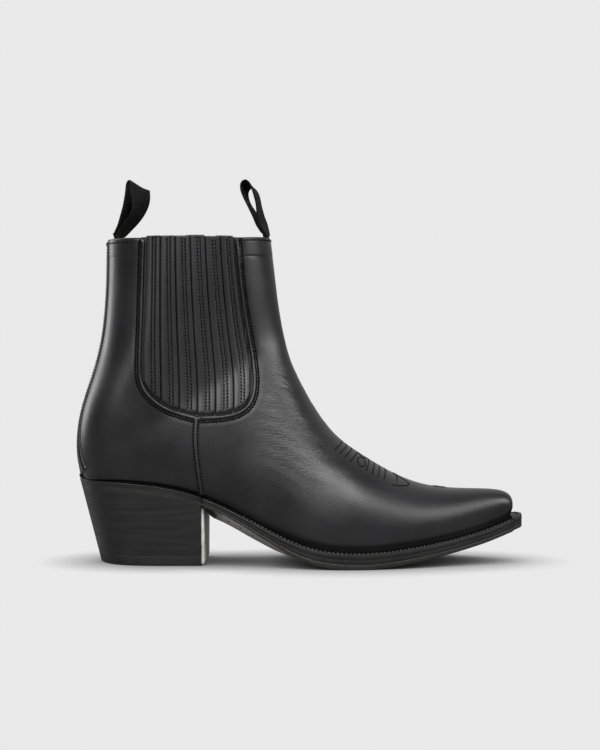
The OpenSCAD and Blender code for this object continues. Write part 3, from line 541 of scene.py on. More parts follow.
class Thread:
    """Collects stitches, each a small bead of thread lying on the leather, with black discs and
    bands of painted shade for their needle holes and channels.
    """
    AROUND, ALONG = 8, 7
    GROOVE_SHADE_LIFT = 0.06

    def __init__(self):
        self.verts, self.faces = [], []
        self.pit_verts, self.hole_shade_faces = [], []
        self.groove_shade_bands = []
        self.bead_faces = np.array(ring_faces(self.ALONG, self.AROUND))
        self.t = np.linspace(-1, 1, self.ALONG)
        self.radius = np.sqrt(np.clip(1 - np.abs(self.t) ** 2.6, 0.02, 1))
        a = np.linspace(0, 2 * math.pi, self.AROUND, endpoint=False)
        self.ring = np.stack([np.cos(a), np.sin(a)], 1)

    def row(self, points, normal, thick, pitch=1.95, length=1.25, sink=-0.12, lean=0.0,
            painted_groove_shade=0.0):
        """Stitches along points; normal holds an outward direction for each point."""
        place, run, share = polyline(points, pitch, pitch * 0.5)
        at = share * (len(points) - 1)
        out = unit(np.stack([np.interp(at, np.arange(len(points)), normal[:, k])
                             for k in range(3)], 1))
        side = np.cross(out, run)
        # painted shade: black discs at the needle holes, and a black band under the row when asked
        self.needle_holes(place - run * pitch / 2, run, out, thick)
        if painted_groove_shade:
            self.painted_groove_shade(points, normal, painted_groove_shade)
        n = self.AROUND
        for p, r, o, sd in zip(place, run, out, side):
            tilt = lean + rng.normal(0, 0.04)
            r = r * math.cos(tilt) + sd * math.sin(tilt)
            sd = np.cross(o, r)
            p = p + rng.normal(0, 0.03, 3)
            half = length / 2 * rng.uniform(0.93, 1.05)
            start = len(self.verts) * n * self.ALONG
            arch = (1 - self.t ** 2) * thick * 0.55
            self.verts.append(np.concatenate([
                p + r * (half * t) + o * (arch[i] - sink)
                + (self.ring[:, :1] * sd + self.ring[:, 1:] * o) * thick * self.radius[i]
                for i, t in enumerate(self.t)]))
            self.faces += (self.bead_faces + start).tolist()
            end = start + (self.ALONG - 1) * n
            self.faces += [range(start + n - 1, start - 1, -1), range(end, end + n)]

    def needle_holes(self, places, run, out, thick):
        """Painted shade: small black discs between the stitches, standing in for the needle holes.
        """
        a = np.linspace(0, 2 * math.pi, 9)[:-1]
        for p, r, o, sd in zip(places, run, out, np.cross(out, run)):
            start = len(self.pit_verts) * 8
            self.pit_verts.append(p + o * 0.06 + np.outer(np.cos(a), r) * thick * 0.75
                                  + np.outer(np.sin(a), sd) * thick * 1.2)
            self.hole_shade_faces.append(range(start, start + 8))

    def painted_groove_shade(self, points, normal, half):
        """Painted shade: a black band just over the leather, where a row's thread is pulled into
        its channel.
        """
        out = unit(normal)
        side = np.cross(out, unit(np.gradient(points, axis=0))) * half
        middle = points + out * self.GROOVE_SHADE_LIFT
        self.groove_shade_bands.append((middle - side, middle + side))

    def build(self, name, slot, material=None):
        beads = new_object(name, np.concatenate(self.verts), self.faces, material or THREAD)
        # the painted shade: hole discs and channel bands, in an object of their own
        verts, faces = list(self.pit_verts), list(self.hole_shade_faces)
        start = 8 * len(verts)
        for left, right in self.groove_shade_bands:
            n = len(left)
            verts += [left, right]
            faces += [(start + i, start + i + 1, start + n + i + 1, start + n + i)
                      for i in range(n - 1)]
            start += 2 * n
        ride_slot(beads, slot)
        ride_slot(new_object(name + "_holes", np.concatenate(verts), faces, PAINTED_SHADE_BLACK), slot)


def on_side(grid, side):
    """The same places on the other side of the boot; columns turn round to keep faces out."""
    if side > 0:
        return grid
    flipped = grid[..., ::-1, :].copy() if grid.ndim > 2 else grid.copy()
    flipped[..., 1] *= -1
    return flipped


SIDES = (("lateral", 1), ("medial", -1))


def ride_slot(obj, slot, *nodes):
    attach(obj, BOOT)
    if nodes:
        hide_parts(*nodes)
    return obj


def near_line(points, line):
    """Distance of each point from the nearest point of a line of points."""
    flat = points.reshape(-1, 3)
    out = np.empty(len(flat))
    for i in range(0, len(flat), 4000):
        away = flat[i:i + 4000, None] - line[None]
        out[i:i + 4000] = np.sqrt((away ** 2).sum(-1).min(1))
    return out.reshape(points.shape[:-1])


def flip_turn(place, side):
    return place * np.array([1, side])


def bell(x, middle, width):
    return np.exp(-((x - middle) / width) ** 2)


# Lines on the form, as [station, turn] on the lateral side.
GORE_LINE = np.concatenate([flank_curve(GORE_FRONT, np.linspace(0, 1, 160)),
                            flank_curve(GORE_REAR, np.linspace(1, 0, 160))])
SEAM_LINE = flank_curve(SEAM, np.linspace(0, 1, 60))
TOP_LINE = top_line(np.linspace(-180, 180, 500))
GORE_XYZ = {side: skin(*flip_turn(GORE_LINE, side).T) for _, side in SIDES}
TOP_XYZ = skin(*TOP_LINE.T)

# --- the leather's relief
waves = rng.uniform(0, 2 * math.pi, (14, 2))


def organic(base, size=1.0):
    """Slow unevenness that hand-lasted leather always has, in mm."""
    x, y, z = base[..., 0], base[..., 1], base[..., 2]
    total = 0
    for i, (a, b) in enumerate(waves):
        k = 0.035 + 0.011 * i
        total = total + np.sin(k * x * math.cos(a) + k * y * math.sin(b) + k * z * math.sin(a)
                               + b * 3) / (1 + 0.5 * i)
    return total * 0.05 * size


def instep_folds(base):
    """Soft wrinkles where the instep bends, strongest on the flanks of the ankle's front."""
    x, z = base[..., 0], base[..., 2]
    place = smooth(x, -32, -14) * (1 - smooth(x, 14, 46)) * smooth(z, 38, 66) \
        * (1 - smooth(z, 112, 132))
    swirl = 1.6 * np.sin(0.11 * x + 0.5) + 1.2 * np.sin(0.07 * z)
    run = 0.93 * z + 0.30 * x + swirl
    fine = np.sin(run * 1.9 + 0.9 * np.sin(0.16 * x)) * 0.04
    mid = np.sin(run * 0.8 + 1.3 + 0.8 * np.sin(0.09 * x)) * 0.05
    return place * (fine + mid)


def rim_relief(away, rise=0.42):
    """A folded edge with a bead, then the two sunk stitch rows of the gore's frame."""
    bead = rise * np.sqrt(np.clip(1 - ((away - 0.95) / 1.05) ** 2, 0, 1))
    return bead - 0.2 * bell(away, 2.15, 0.35) - 0.2 * bell(away, 3.6, 0.4) \
        - 0.12 * smooth(away, 1.6, 2.4) * (1 - smooth(away, 3.8, 6.5))


def upper_relief(side):
    gores = [GORE_XYZ[side]] if side else list(GORE_XYZ.values())

    def relief(s, base):
        away = np.min([near_line(base, g) for g in gores], axis=0)
        top = near_line(base, TOP_XYZ)
        fade = smooth(s, 0.2, 1.6)
        lift = organic(base) * fade * smooth(away, 2, 9) + instep_folds(base) * smooth(away, 3, 8)
        lift = lift + rim_relief(away) * (1 - smooth(away, 7, 8))
        facing = (1 - smooth(top, 10.6, 11.6)) * 0.16 - 0.12 * bell(top, 11.5, 0.5)
        stitched = -0.16 * bell(top, 2.0, 0.45)
        return lift + (facing + stitched) * smooth(away, 3.0, 6.0)
    return relief


# mm: the leather's thickness, its turned-in top, and how far its foot goes in and down
LEATHER, TURNED_TOP, TUCK_IN, FOOT_SINK = 1.4, 1.85, 2.0, 1.4


def leather_piece(name, grid, foot_edges, relief, *nodes):
    """Outer leather whose top turns in to meet the lining and whose foot runs into the welt."""
    s, turn = grid[..., 0], grid[..., 1]
    base = skin(s, turn)
    d = edge_distances(base)
    near = np.min(d, axis=0)
    top = near_line(base, TOP_XYZ)
    outer = skin(s, turn, rounded(np.minimum(near, 9), 0.8, 0.9) - relief(s, base))
    inner = skin(s, turn,
                 LEATHER + TURNED_TOP * (1 - smooth(top, 3, 9)) * smooth(near, 0.0, 0.8))
    foot = np.min([d[k] for k in foot_edges], axis=0)
    shadow = TUCK_IN * (1 - smooth(foot, 0.0, 5.5)) * (0.5 + 0.5 * smooth(s, 3.0, 8.0)) \
        * (1 - 0.85 * smooth(s, 12.2, 13.6))
    tuck = unit(normals(s, turn) * np.array([1, 1, 0])) * shadow[..., None]
    sink = FOOT_SINK * (1 - smooth(foot, 0.0, 3.2))
    for sheet in (outer, inner):
        sheet[..., 2] -= sink
    ride_slot(shell_object(name, outer - tuck, inner - tuck, BLACK_CALF), "upper_leather", *nodes)


# --- front of the upper
THROAT_TURNS = [0, 6, 12, 17, 22, 26, 30, 35, 45, 56, 64, 71, 77, 84, 94, 118, 172]
CLEAR = 0.2  # mm between an edge and the line it follows


def front_edge(t):
    """Edge of the front piece; t runs 0 to 16: top line, gore, side seam, feather."""
    t = np.asarray(t, float)
    corner = flank_curve(GORE_FRONT, 0, CLEAR)[..., 1]
    top = top_line(corner * np.clip(t, 0, 4) / 4)
    gore = flank_curve(GORE_FRONT, np.clip((t - 4) / 8, 0, 1), CLEAR)
    seam = flank_curve(SEAM, np.clip((t - 12) / 4, 0, 1), CLEAR)
    last = np.clip(t - 15, 0, 1)[..., None]
    foot = flank_curve(SEAM, 0.75, CLEAR) * (1 - last) + np.array([10.444, 172]) * last
    t = t[..., None]
    return np.where(t <= 4, top, np.where(t <= 12, gore, np.where(t <= 15, seam, foot)))


def front_grid(first, foot_turn, rows, cols):
    """rows are shares of the way from the toe to the edge, cols run -16 to 16."""
    edge = front_edge(np.abs(cols))
    side = np.sign(cols)
    end_s, end_t = edge[:, 0], np.minimum(edge[:, 1], foot_turn) * side
    start_t = foot_turn * cols / 16
    throat = np.minimum(np.interp(np.abs(cols), range(17), THROAT_TURNS), foot_turn) * side
    grid = np.empty((len(rows), len(cols), 2))
    for i, f in enumerate(rows):
        if f <= 0.64:
            g = (f / 0.64) ** 1.35
            grid[i] = np.stack([np.full(len(cols), mix(first, 10.3, g)),
                                mix(start_t, throat, g)], -1)
        else:
            g = (f - 0.64) / 0.36
            grid[i] = np.stack([mix(10.3, end_s, g), mix(throat, end_t, g ** 1.6)], -1)
    return grid


front_rows = np.concatenate([np.linspace(0, 0.97, 165), np.linspace(0.971, 1, 30)])
front_cols = np.linspace(-16, 16, 225)
leather_piece("vis_front_upper", front_grid(0.15, 172, front_rows, front_cols), (0, 2, 3),
              upper_relief(0), "front_upper")


# --- quarters
def quarter_foot(u, foot_turn):
    return np.stack([mix(10.45, 14.0, u), mix(foot_turn, 179.6, u ** 6)], -1)


def quarter_top(u):
    gore = flank_curve(GORE_REAR, np.clip(1 - u / 0.7, 0, 1), -CLEAR)
    corner = flank_curve(GORE_REAR, 0, -CLEAR)[..., 1]
    top = top_line(mix(corner, 179.6, np.clip((u - 0.7) / 0.3, 0, 1)))
    return np.where((u <= 0.7)[..., None], gore, top)


def quarter_grid(foot_turn, rows, cols):
    v, u = rows[:, None, None], cols[None, :, None]
    ends = np.array([0.0, 1.0])
    c0, c1 = quarter_foot(ends, foot_turn), quarter_top(ends)
    foot, top = quarter_foot(cols, foot_turn)[None], quarter_top(cols)[None]
    seam = flank_curve(SEAM, 1 - rows, -CLEAR)
    seam = np.where(((rows > 0) & (rows < 1))[:, None], seam,
                    c0[0] * (1 - rows[:, None]) + c1[0] * rows[:, None])[:, None]
    back = c0[1] * (1 - v) + c1[1] * v
    flat_foot = c0[0] * (1 - u) + c0[1] * u
    flat_top = c1[0] * (1 - u) + c1[1] * u
    return seam * (1 - u) + back * u + (foot - flat_foot) * (1 - v) + (top - flat_top) * v


quarter_rows = np.concatenate([np.linspace(0, 0.9, 60), np.linspace(0.904, 1, 30)])
quarter_cols = spans((0, 0.04, 6), (0.04, 0.7, 76), (0.7, 1, 34))
for side_name, side in SIDES:
    leather_piece(f"vis_quarter_{side_name}",
                  on_side(quarter_grid(172, quarter_rows, quarter_cols), side), (0,),
                  upper_relief(side), f"quarter_{side_name}")


# --- seam strip and backstay
def band_relief(base, d):
    """A narrow applied strip: a soft crown, sunk where its two stitch rows lie."""
    across = STRIP_HALF - d[2]
    return 0.12 * np.clip(1 - (across / STRIP_HALF) ** 2, 0, 1) \
        - 0.16 * bell(np.abs(across), SEAM_ROW, 0.3)


def stay_relief(base, d):
    return organic(base) - 0.2 * bell(np.minimum(d[2], d[3]), 1.5, 0.35)


STRIP_HALF, SEAM_ROW = 2.1, 1.25
STAY_SINK = 2.2  # mm that the backstay's foot reaches down to the heel
STAY = [[14, 34], [15, 25.5], [16, 20], [18, 15], [20, 13]]


def stay_turn(s):
    return soft_lookup(s, STAY, 0.4)


stay_s = np.linspace(14.06, 20, 170)[:, None]
stay_share = spans((-1, -0.8, 12), (-0.8, 0.8, 31), (0.8, 1, 12))
stay_grid = np.stack(np.broadcast_arrays(stay_s, 180 + stay_share[None] * stay_turn(stay_s)), -1)
stay = leather_sheet("vis_backstay", stay_grid, 1.15, BLACK_CALF, -0.85, stay_relief, 0.75)
for v in stay.data.vertices:
    v.co.z -= STAY_SINK * MM * (1 - float(smooth(v.co.z / MM, 54, 60)))
ride_slot(stay, "strip_leather", "backstay")
for side_name, side in SIDES:
    strip = np.stack([flank_curve(SEAM, np.linspace(1.0, 0, 60), a)
                      for a in np.linspace(STRIP_HALF, -STRIP_HALF, 17)], 1)
    obj = leather_sheet(f"vis_seam_strip_{side_name}", on_side(strip, side), 1.2, TRIM_CALF,
                        -0.9, band_relief, 0.6)
    ride_slot(obj, "strip_leather", f"seam_strip_{side_name}")


# --- gores
WINDOW_REAR = [[90, -95.6], [128, -96.2], [200, -94.6]]
WINDOW_FRONT = [[90, -30.2], [112, -29.6], [126, -30.4], [147, -34], [172, -37.4], [200, -39.9]]
GORE_FLOOR = [[-96, 114], [-91.8, 105.5], [-83, 98.3], [-73, 94], [-62, 91.6], [-50, 91.9],
              [-39, 94], [-31.8, 99.5], [-29, 109]]
ELASTIC_REAR = [[88, -76], [94, -88], [104, -96], [118, -99.5], [200, -98.5]]
ELASTIC_FRONT = [[88, -42], [94, -33.5], [102, -28.5], [112, -26.5], [126, -27], [147, -31],
                 [200, -36.5]]
STRIPS, STRIP_ROWS = 6, (0.50, 0.70)
STRIP_TOP = 202.0


def strip_x(k, z):
    return mix(soft_lookup(z, WINDOW_REAR, 8), soft_lookup(z, WINDOW_FRONT, 8), k / STRIPS)


def strip_floor(x):
    return soft_lookup(x, GORE_FLOOR, 2.0) + 0.7


def strip_profile(w, width):
    """Depth across one strip; w is mm from its visible rear line to its standing front edge."""
    depth = 0.5 - 0.35 * smooth(w, 0, width)
    depth = depth + 1.15 * (1 - smooth(w, 0.1, 0.95))
    depth = depth - 0.3 * bell(w, width * 0.28, width * 0.16) - 0.28 * bell(w, width - 0.9, 0.9)
    for row in STRIP_ROWS:
        depth = depth + 0.26 * bell(w, width * row, 0.42)
    return depth


def strip_place(k, w, share, side):
    """Station, turn and depth on strip k; w and share run over its width and its height."""
    top = STRIP_TOP - 0.1 + 0.35 * math.sin(2.4 * k + side)
    level = 100 + (top - 100) * share
    rear = strip_x(k, level) + (0.35 if k == 0 else 0.0)
    front = strip_x(k + 1, level) - (1.1 if k == STRIPS - 1 else 0.15)
    width = front - rear
    x = rear + w * width
    z = mix(strip_floor(x) - 1.2, top, share)
    foot = z - (strip_floor(x) - 0.7)
    depth = np.maximum(strip_profile(w * width, width), mix(1.55, 0.0, smooth(foot, 0.2, 3.0)))
    return flip_turn(flank(x, z), side), depth, width


strip_rows = spans((0, 0.07, 10), (0.07, 0.985, 66), (0.985, 1, 6))
strip_cols = np.concatenate([[-0.26, -0.2, -0.1], np.linspace(-0.03, 0.16, 12),
                             np.linspace(0.18, 0.86, 34), np.linspace(0.88, 1, 12)])
threads = {}
for side_name, side in SIDES:
    threads[side] = Thread()
    for k in range(STRIPS):
        cols = strip_cols if k else strip_cols[3:]
        ww, vv = np.meshgrid(cols[::-1], strip_rows, indexing="xy")
        place, depth, width = strip_place(k, ww, vv, side)
        depth = depth + 0.35 * smooth(-ww, 0, 0.25)
        down = rounded((1 - ww) * width, 0.55, 0.62) + rounded((1 - vv) * 100, 0.5, 0.5)
        top = skin(place[..., 0], place[..., 1], depth + down)
        back = skin(place[..., 0], place[..., 1], np.maximum(depth + 0.62, 1.0) + 0.12)
        if side < 0:
            top, back = top[:, ::-1], back[:, ::-1]
        obj = shell_object(f"vis_gore_strip_{side_name}_{k + 1}", top, back, STRIP_CALF)
        ride_slot(obj, "strip_leather", f"gore_strip_{side_name}_{k + 1}")
        share = np.linspace(0.035, 0.992, 60)
        for row in STRIP_ROWS:
            at, deep, _ = strip_place(k, np.full(60, row), share, side)
            threads[side].row(skin(*at.T, deep), normals(*at.T), 0.44, pitch=2.1, length=1.3)
    # elastic under the strips
    zz = np.linspace(88, 201.3, 60)[:, None]
    share = np.linspace(1, 0, 50)[None]
    x = mix(soft_lookup(zz, ELASTIC_REAR, 2), soft_lookup(zz, ELASTIC_FRONT, 2), share)
    grid = flank(x, np.broadcast_to(zz, x.shape))
    obj = leather_sheet(f"vis_gore_elastic_{side_name}", on_side(grid, side), 0.75, ELASTIC, 2.0,
                        radius=0.3)
    ride_slot(obj, "elastic", f"gore_elastic_{side_name}")


# --- linings and facings
def lining(name, grid):
    obj = leather_sheet(f"vis_{name}", grid, 0.7, LINING, 3.35,
                        lambda base, d: organic(base, 0.6), 0.4)
    ride_slot(obj, "lining_leather", name)


lining("front_lining", front_grid(1.2, 150, np.linspace(0, 1, 90), np.linspace(-16, 16, 129)))
for side_name, side in SIDES:
    lining(f"quarter_lining_{side_name}",
           on_side(quarter_grid(150, np.linspace(0, 1, 50), np.linspace(0, 1, 60)), side))
for name, middle, first in (("front_facing", 0, 19.2), ("rear_facing", 180, 19.6)):
    turn = middle + np.linspace(-44, 44, 90)
    s = mix(first, top_line(turn)[:, 0][None], np.linspace(0, 1, 26)[:, None])
    grid = np.stack([s, np.broadcast_to(turn[None], s.shape)], -1)
    obj = leather_sheet(f"vis_{name}", grid, 0.95, LINING, 4.08, radius=0.4)
    ride_slot(obj, "lining_leather", name)


# --- sole outline
REACH = [[-1, 7.6], [0, 6.6], [1, 5.6], [3, 4.6], [8, 4.6], [9, 2.8], [10, 1.9], [14, 1.9]]
EDGE = [[-1, 7.7], [2, 7.3], [4, 7.7], [6.3, 9.5], [8, 9.5], [9.2, 6.4], [10, 5.2], [14, 5]]
DOME = [[7.7, 0], [8.3, 0.4], [8.9, 0.8], [9.5, 1], [10.44, 1], [10.5, 0], [14, 0]]
WELT_SHARE, MIDSOLE_SHARE = 0.36, 0.66
WAIST_DOME = 7.5
TOE_SLOPE = 0.34
HEEL_TALL, HEEL_DRAW_X, HEEL_DRAW_Y, HEEL_REACH, BREAST_X = 52, 0.175, 0.13, 1.9, -60.5


def feather(s, side):
    s = np.asarray(s, float)
    row = along(STATIONS, np.maximum(s, 0))
    y = np.maximum(0, np.where(np.asarray(side) < 0, row[..., 6], row[..., 7]))
    return np.stack([row[..., 2], side * y * np.minimum(1, s + 1), row[..., 3]], -1)


def feather_out(s, side):
    s = np.asarray(s, float)
    run = feather(np.minimum(HEEL, s + 0.14), side) - feather(np.maximum(-1, s - 0.14), side)
    out = unit(np.stack([side * run[..., 1], -side * run[..., 0]], -1))
    out = np.where((s >= HEEL)[..., None], np.array([-1.0, 0.0]), out)
    return np.where((s <= -1)[..., None], np.array([1.0, 0.0]), out)


def outline(s, side, reach):
    f = feather(s, side)
    return f[..., :2] + feather_out(s, side) * np.asarray(reach)[..., None]


def reach_at(s):
    return soft_lookup(s, REACH, 0.25)


def drop_at(s, share):
    return 0.3 + share * (soft_lookup(s, EDGE, 0.4) - 0.3)


def toe_rise(x):
    """The layers keep climbing where they stand out in front of the upper's toe."""
    return TOE_SLOPE * np.maximum(0, x - feather(0.0, 1)[0])


def drawn_in(points, s):
    """The heel seat follows the taper of the heel's wall, and the toe keeps its slope."""
    at_heel = smooth(s, 10.44, 10.5)[:, None]
    low = (1 - points[..., 2] / HEEL_TALL) * at_heel
    out = points.copy()
    out[..., 0] = BREAST_X + (points[..., 0] - BREAST_X) * (1 - HEEL_DRAW_X * low)
    out[..., 1] = points[..., 1] * (1 - HEEL_DRAW_Y * low)
    out[..., 2] += toe_rise(out[..., 0])
    return out


QUARTER_ARC = np.linspace(0, math.pi / 2, 5)
RIM_INNER, WHEEL_PITCH = 3.9, 1.15


def outline_of(s, side, reach):
    a, b = outline(s, 1, reach), outline(s, -1, reach)
    return np.where((side > 0)[:, None], a, b)


def rim_object(name, path, top_share, bottom_share, material, radius, top_shape=None,
               wheel=0.0, swell=0.0, lower=None):
    """A strip along the feather edge; path rows are (station, side)."""
    s, side = path[:, 0], path[:, 1]
    z = feather(s, 1)[..., 2]
    top, bottom, edge = drop_at(s, top_share), drop_at(s, bottom_share), reach_at(s)
    lower = radius if lower is None else lower
    marks = 0.5 + 0.5 * np.cos(lengths(outline_of(s, side, edge)) * 2 * math.pi / WHEEL_PITCH)
    rings = []

    def ring(reach, height):
        rings.append(np.column_stack([outline_of(s, side, reach), height]))

    ring(np.full(len(s), -RIM_INNER), z - bottom)
    ring(np.full(len(s), -RIM_INNER), z - top)
    for back in (6.5, 4.2, 2.6, 1.5) if top_shape else ():
        ring(np.maximum(edge - back, -RIM_INNER + 0.2), z - top + top_shape(back))
    for t in QUARTER_ARC:
        ring(edge - radius * (1 - math.sin(t)),
             z - top - radius * (1 - math.cos(t)) - wheel * marks * math.cos(t) * 0.9)
    for g in (0.02, 0.25, 0.5, 0.75, 0.98):
        ring(edge + swell * 4 * g * (1 - g),
             z - (top + radius + (bottom - top - radius - lower) * g))
    for t in QUARTER_ARC:
        ring(edge - lower * (1 - math.cos(t)), z - bottom + lower * (1 - math.sin(t)))
    return ringed_object(name, drawn_in(np.stack(rings, 1), s), material)


def slab_object(name, s, top_share, bottom_share, dome, material, radius):
    """A full layer of the sole: rounded edge, flat top, domed underside in the waist."""
    top, bottom, edge = drop_at(s, top_share), drop_at(s, bottom_share), reach_at(s)
    z = feather(s, 1)[..., 2]

    def row(side, inset, drop):
        return np.column_stack([outline(s, side, edge - inset), z - drop])
    over = [(radius * (1 - math.sin(t)), top + radius * (1 - math.cos(t))) for t in QUARTER_ARC]
    under = [(radius * (1 - math.cos(t)), bottom - radius * (1 - math.sin(t)))
             for t in QUARTER_ARC]
    hump = dome * soft_lookup(s, DOME, 0.12)
    a, b = outline(s, -1, edge - radius), outline(s, 1, edge - radius)
    flats = [np.column_stack([mix(a, b, f), z - bottom - hump * (4 * f * (1 - f)) ** 0.85])
             for f in np.linspace(0, 1, 34)[1:-1]]
    points = [row(-1, *p) for p in over + under] + flats \
        + [row(1, *p) for p in under[::-1] + over[::-1]]
    return ringed_object(name, drawn_in(np.stack(points, 1), s), material)


def both_sides(places):
    """Path from the lateral waist round the toe to the medial waist."""
    return np.concatenate([np.column_stack([places[::-1], -np.ones(len(places))]),
                           np.column_stack([places[1:], np.ones(len(places) - 1)])])


forefoot = spans((-1, -0.3, 12), (-0.3, 0.4, 26), (0.4, 10.495, 640))
coarse = spans((-1, -0.3, 10), (-0.3, 0.4, 24), (0.4, 10.49, 150))
welt = rim_object("vis_welt", both_sides(forefoot), 0, WELT_SHARE - 0.004, SOLE_EDGE, 0.3,
                  lambda back: 0.25 * bell(back, 1.5, 1.2) - 0.35 * bell(back, 3.4, 0.8),
                  wheel=0.16, swell=0.12)
ride_slot(welt, "black_sole_leather", "welt")
midsole = slab_object("vis_midsole", coarse, WELT_SHARE, MIDSOLE_SHARE - 0.004, 0, SOLE_EDGE, 0.14)
ride_slot(midsole, "black_sole_leather", "midsole")
seat_places = np.concatenate([np.linspace(10.5, 13.6, 60), np.linspace(13.63, 14, 24)])
outsole_places = np.concatenate([coarse[:-1], np.array([10.52]), seat_places[2:]])
outsole_round = 0.4 * (1 - smooth(outsole_places, 9.9, 10.45)) + 0.015
outsole = slab_object("vis_outsole", outsole_places, MIDSOLE_SHARE, 1, WAIST_DOME, OUTSOLE,
                      outsole_round)
ride_slot(outsole, "tan_sole_leather", "outsole")
heel_path = np.concatenate([np.column_stack([seat_places, np.ones(len(seat_places))]),
                            np.column_stack([seat_places[-2::-1],
                                             -np.ones(len(seat_places) - 1)])])
rand = rim_object("vis_heel_rand", heel_path, 0, MIDSOLE_SHARE, HEEL_STACK, 0.25, lower=0.015)
ride_slot(rand, "black_sole_leather", "heel_rand")

# painted shade: a black tube in the crease where the upper turns in under itself, all round the
# feather edge
feather_shade_path = both_sides(np.concatenate([forefoot[::8], np.linspace(10.56, 14, 50)]))


def feather_shade_ring(turn):
    s, side = feather_shade_path.T
    z = feather(s, 1)[..., 2] - drop_at(s, 0) + 0.55 + 0.75 * math.sin(turn)
    return np.column_stack([outline_of(s, side, 0.25 + 0.65 * math.cos(turn) + 0 * s), z])


# painted shade: the black tube itself
crease = ringed_object("vis_feather_painted_shade", np.stack(
    [feather_shade_ring(a) for a in np.linspace(0, 2 * math.pi, 9)[:-1]], 1), PAINTED_SHADE_BLACK)
ride_slot(crease, "upper_leather")

# thread of the welt: short raised stitches in the channel on its top, over a black band of painted
# shade
welt_thread = Thread()
s, side = both_sides(spans((-1, 0.4, 60), (0.4, 9.6, 260))).T
channel = np.column_stack([outline_of(s, side, reach_at(s) - 1.75),
                           feather(s, 1)[..., 2] - drop_at(s, 0)])
channel[:, 2] += toe_rise(channel[:, 0])
up = np.tile([0.0, 0.0, 1.0], (len(channel), 1))
welt_thread.row(channel, up, 0.46, pitch=2.6, length=2.0, sink=0.0, lean=0.12, painted_groove_shade=0.3)
welt_thread.build("vis_welt_stitching", "black_sole_leather", WELT_THREAD)


# --- heel
STACK_TOP, TOP_PIECE = 32.0, 6.0


def heel_ring(side, z, inset=0.0):
    """Outline of one side of the heel at a height, from the breast to the back."""
    s = seat_places
    p = outline(s, side, HEEL_REACH - inset + 0 * s)
    low = 1 - np.asarray(z) / HEEL_TALL
    x = BREAST_X + (p[:, 0] - BREAST_X) * (1 - HEEL_DRAW_X * low)
    x = np.where(s <= 10.5, BREAST_X, np.minimum(x, BREAST_X))
    return np.column_stack([x, p[:, 1] * (1 - HEEL_DRAW_Y * low), np.broadcast_to(z, s.shape)])


def heel_block(name, levels, material):
    """levels are (height of each place or one height, inset), from the bottom up."""
    rows = np.stack([np.concatenate([heel_ring(-1, z, inset), heel_ring(1, z, inset)[::-1]])
                     for z, inset in levels])
    n, m = rows.shape[:2]
    c = np.arange(m // 2 - 1)
    cap = np.stack([c, c + 1, m - 2 - c, m - 1 - c], -1)
    faces = ring_faces(n, m) + cap.tolist() + (cap + (n - 1) * m).tolist()
    return new_object(name, rows.reshape(-1, 3), faces, material)


def rounded_levels(bottom, top, radius):
    """Levels with rounded rims; a second ring near each rim keeps the wall between them flat."""
    near = 3 * radius
    return [(bottom, radius), (bottom + radius * 0.3, radius * 0.3), (bottom + radius, 0),
            (bottom + near, 0), (top - near, 0), (top - radius, 0),
            (top - radius * 0.3, radius * 0.3), (top, radius)]


for k in range(5):
    bottom = TOP_PIECE + 5.2 * k
    lift = heel_block(f"vis_heel_lift_{k + 1}", rounded_levels(bottom + 0.01, bottom + 5.19, 0.03),
                      HEEL_STACK)
    ride_slot(lift, "heel_leather", f"heel_lift_{k + 1}")
top_piece = heel_block("vis_top_piece", rounded_levels(0.0, TOP_PIECE - 0.01, 0.4)[:5]
                       + [(TOP_PIECE - 0.08, 0), (TOP_PIECE - 0.01, 0.02)], RUBBER)
ride_slot(top_piece, "top_rubber", "top_piece")
seat_z = feather(seat_places, 1)[:, 2] - drop_at(seat_places, 1) - 0.02
wedge = heel_block("vis_heel_wedge", [(STACK_TOP + 0.01, 0.03), (STACK_TOP + 0.04, 0),
                                      (STACK_TOP + 0.12, 0)]
                   + [(mix(STACK_TOP, seat_z, f), 0) for f in (0.25, 0.5, 0.75)]
                   + [(seat_z - 0.1, 0), (seat_z, 0.0)], HEEL_STACK)
ride_slot(wedge, "heel_leather", "heel_wedge")

# natural leather over the heel's front face
top_z = feather(10.5, 1)[2] - drop_at(10.5, 1) - 1.0
levels = np.linspace(0.5, top_z, 40)
shares = np.linspace(-1, 1, 50)
half_width = np.array([np.abs(heel_ring(1, z)[0, 1]) for z in levels]) * 0.985
face_y = shares[None] * half_width[:, None]
face_z = np.broadcast_to(levels[:, None], face_y.shape)
border = np.minimum(half_width[:, None] - np.abs(face_y),
                    np.minimum(face_z - levels[0], levels[-1] - face_z))
front_x = BREAST_X + 1.95 - rounded(border, 0.9, 1.2)
front_face = np.stack([front_x, face_y, face_z], -1)
back_face = np.stack([np.full(face_y.shape, BREAST_X + 0.02), face_y, face_z], -1)
cover = shell_object("vis_heel_breast_cover", front_face, back_face, BREAST)
ride_slot(cover, "breast_leather", "heel_breast_cover")

# pegs in the waist
peg_verts, peg_faces = [], []
ring_angle = np.linspace(0, 2 * math.pi, 16, endpoint=False)
for side in (-1, 1):
    for i in range(7):
        s = mix(8.55, 10.2, i / 6)
        edge = outline(s, side, reach_at(s))
        place = outline(s, side, reach_at(s) - 5.0)
        f = 5.0 / (2 * abs(edge[1]))
        z = feather(s, side)[2] - drop_at(s, 1) \
            - WAIST_DOME * soft_lookup(s, DOME, 0.12) * (4 * f * (1 - f)) ** 0.85
        start = len(peg_verts) * 16
        tilt = rng.normal(0, 0.03, 2)
        for radius, height in ((0.35, -0.42), (0.75, -0.36), (0.95, -0.15), (0.95, 1.9)):
            centre = np.array([place[0] + tilt[0], place[1] + tilt[1], z + height])
            peg_verts.append(centre + np.column_stack(
                [np.cos(ring_angle) * radius, np.sin(ring_angle) * radius, 0 * ring_angle]))
        peg_faces += ring_faces(4, 16, start) + [range(start, start + 16),
                                                 range(start + 48, start + 64)]
pegs = new_object("vis_waist_pegs", np.concatenate(peg_verts), peg_faces, PEG_WOOD)
ride_slot(pegs, "peg_wood", "waist_pegs")


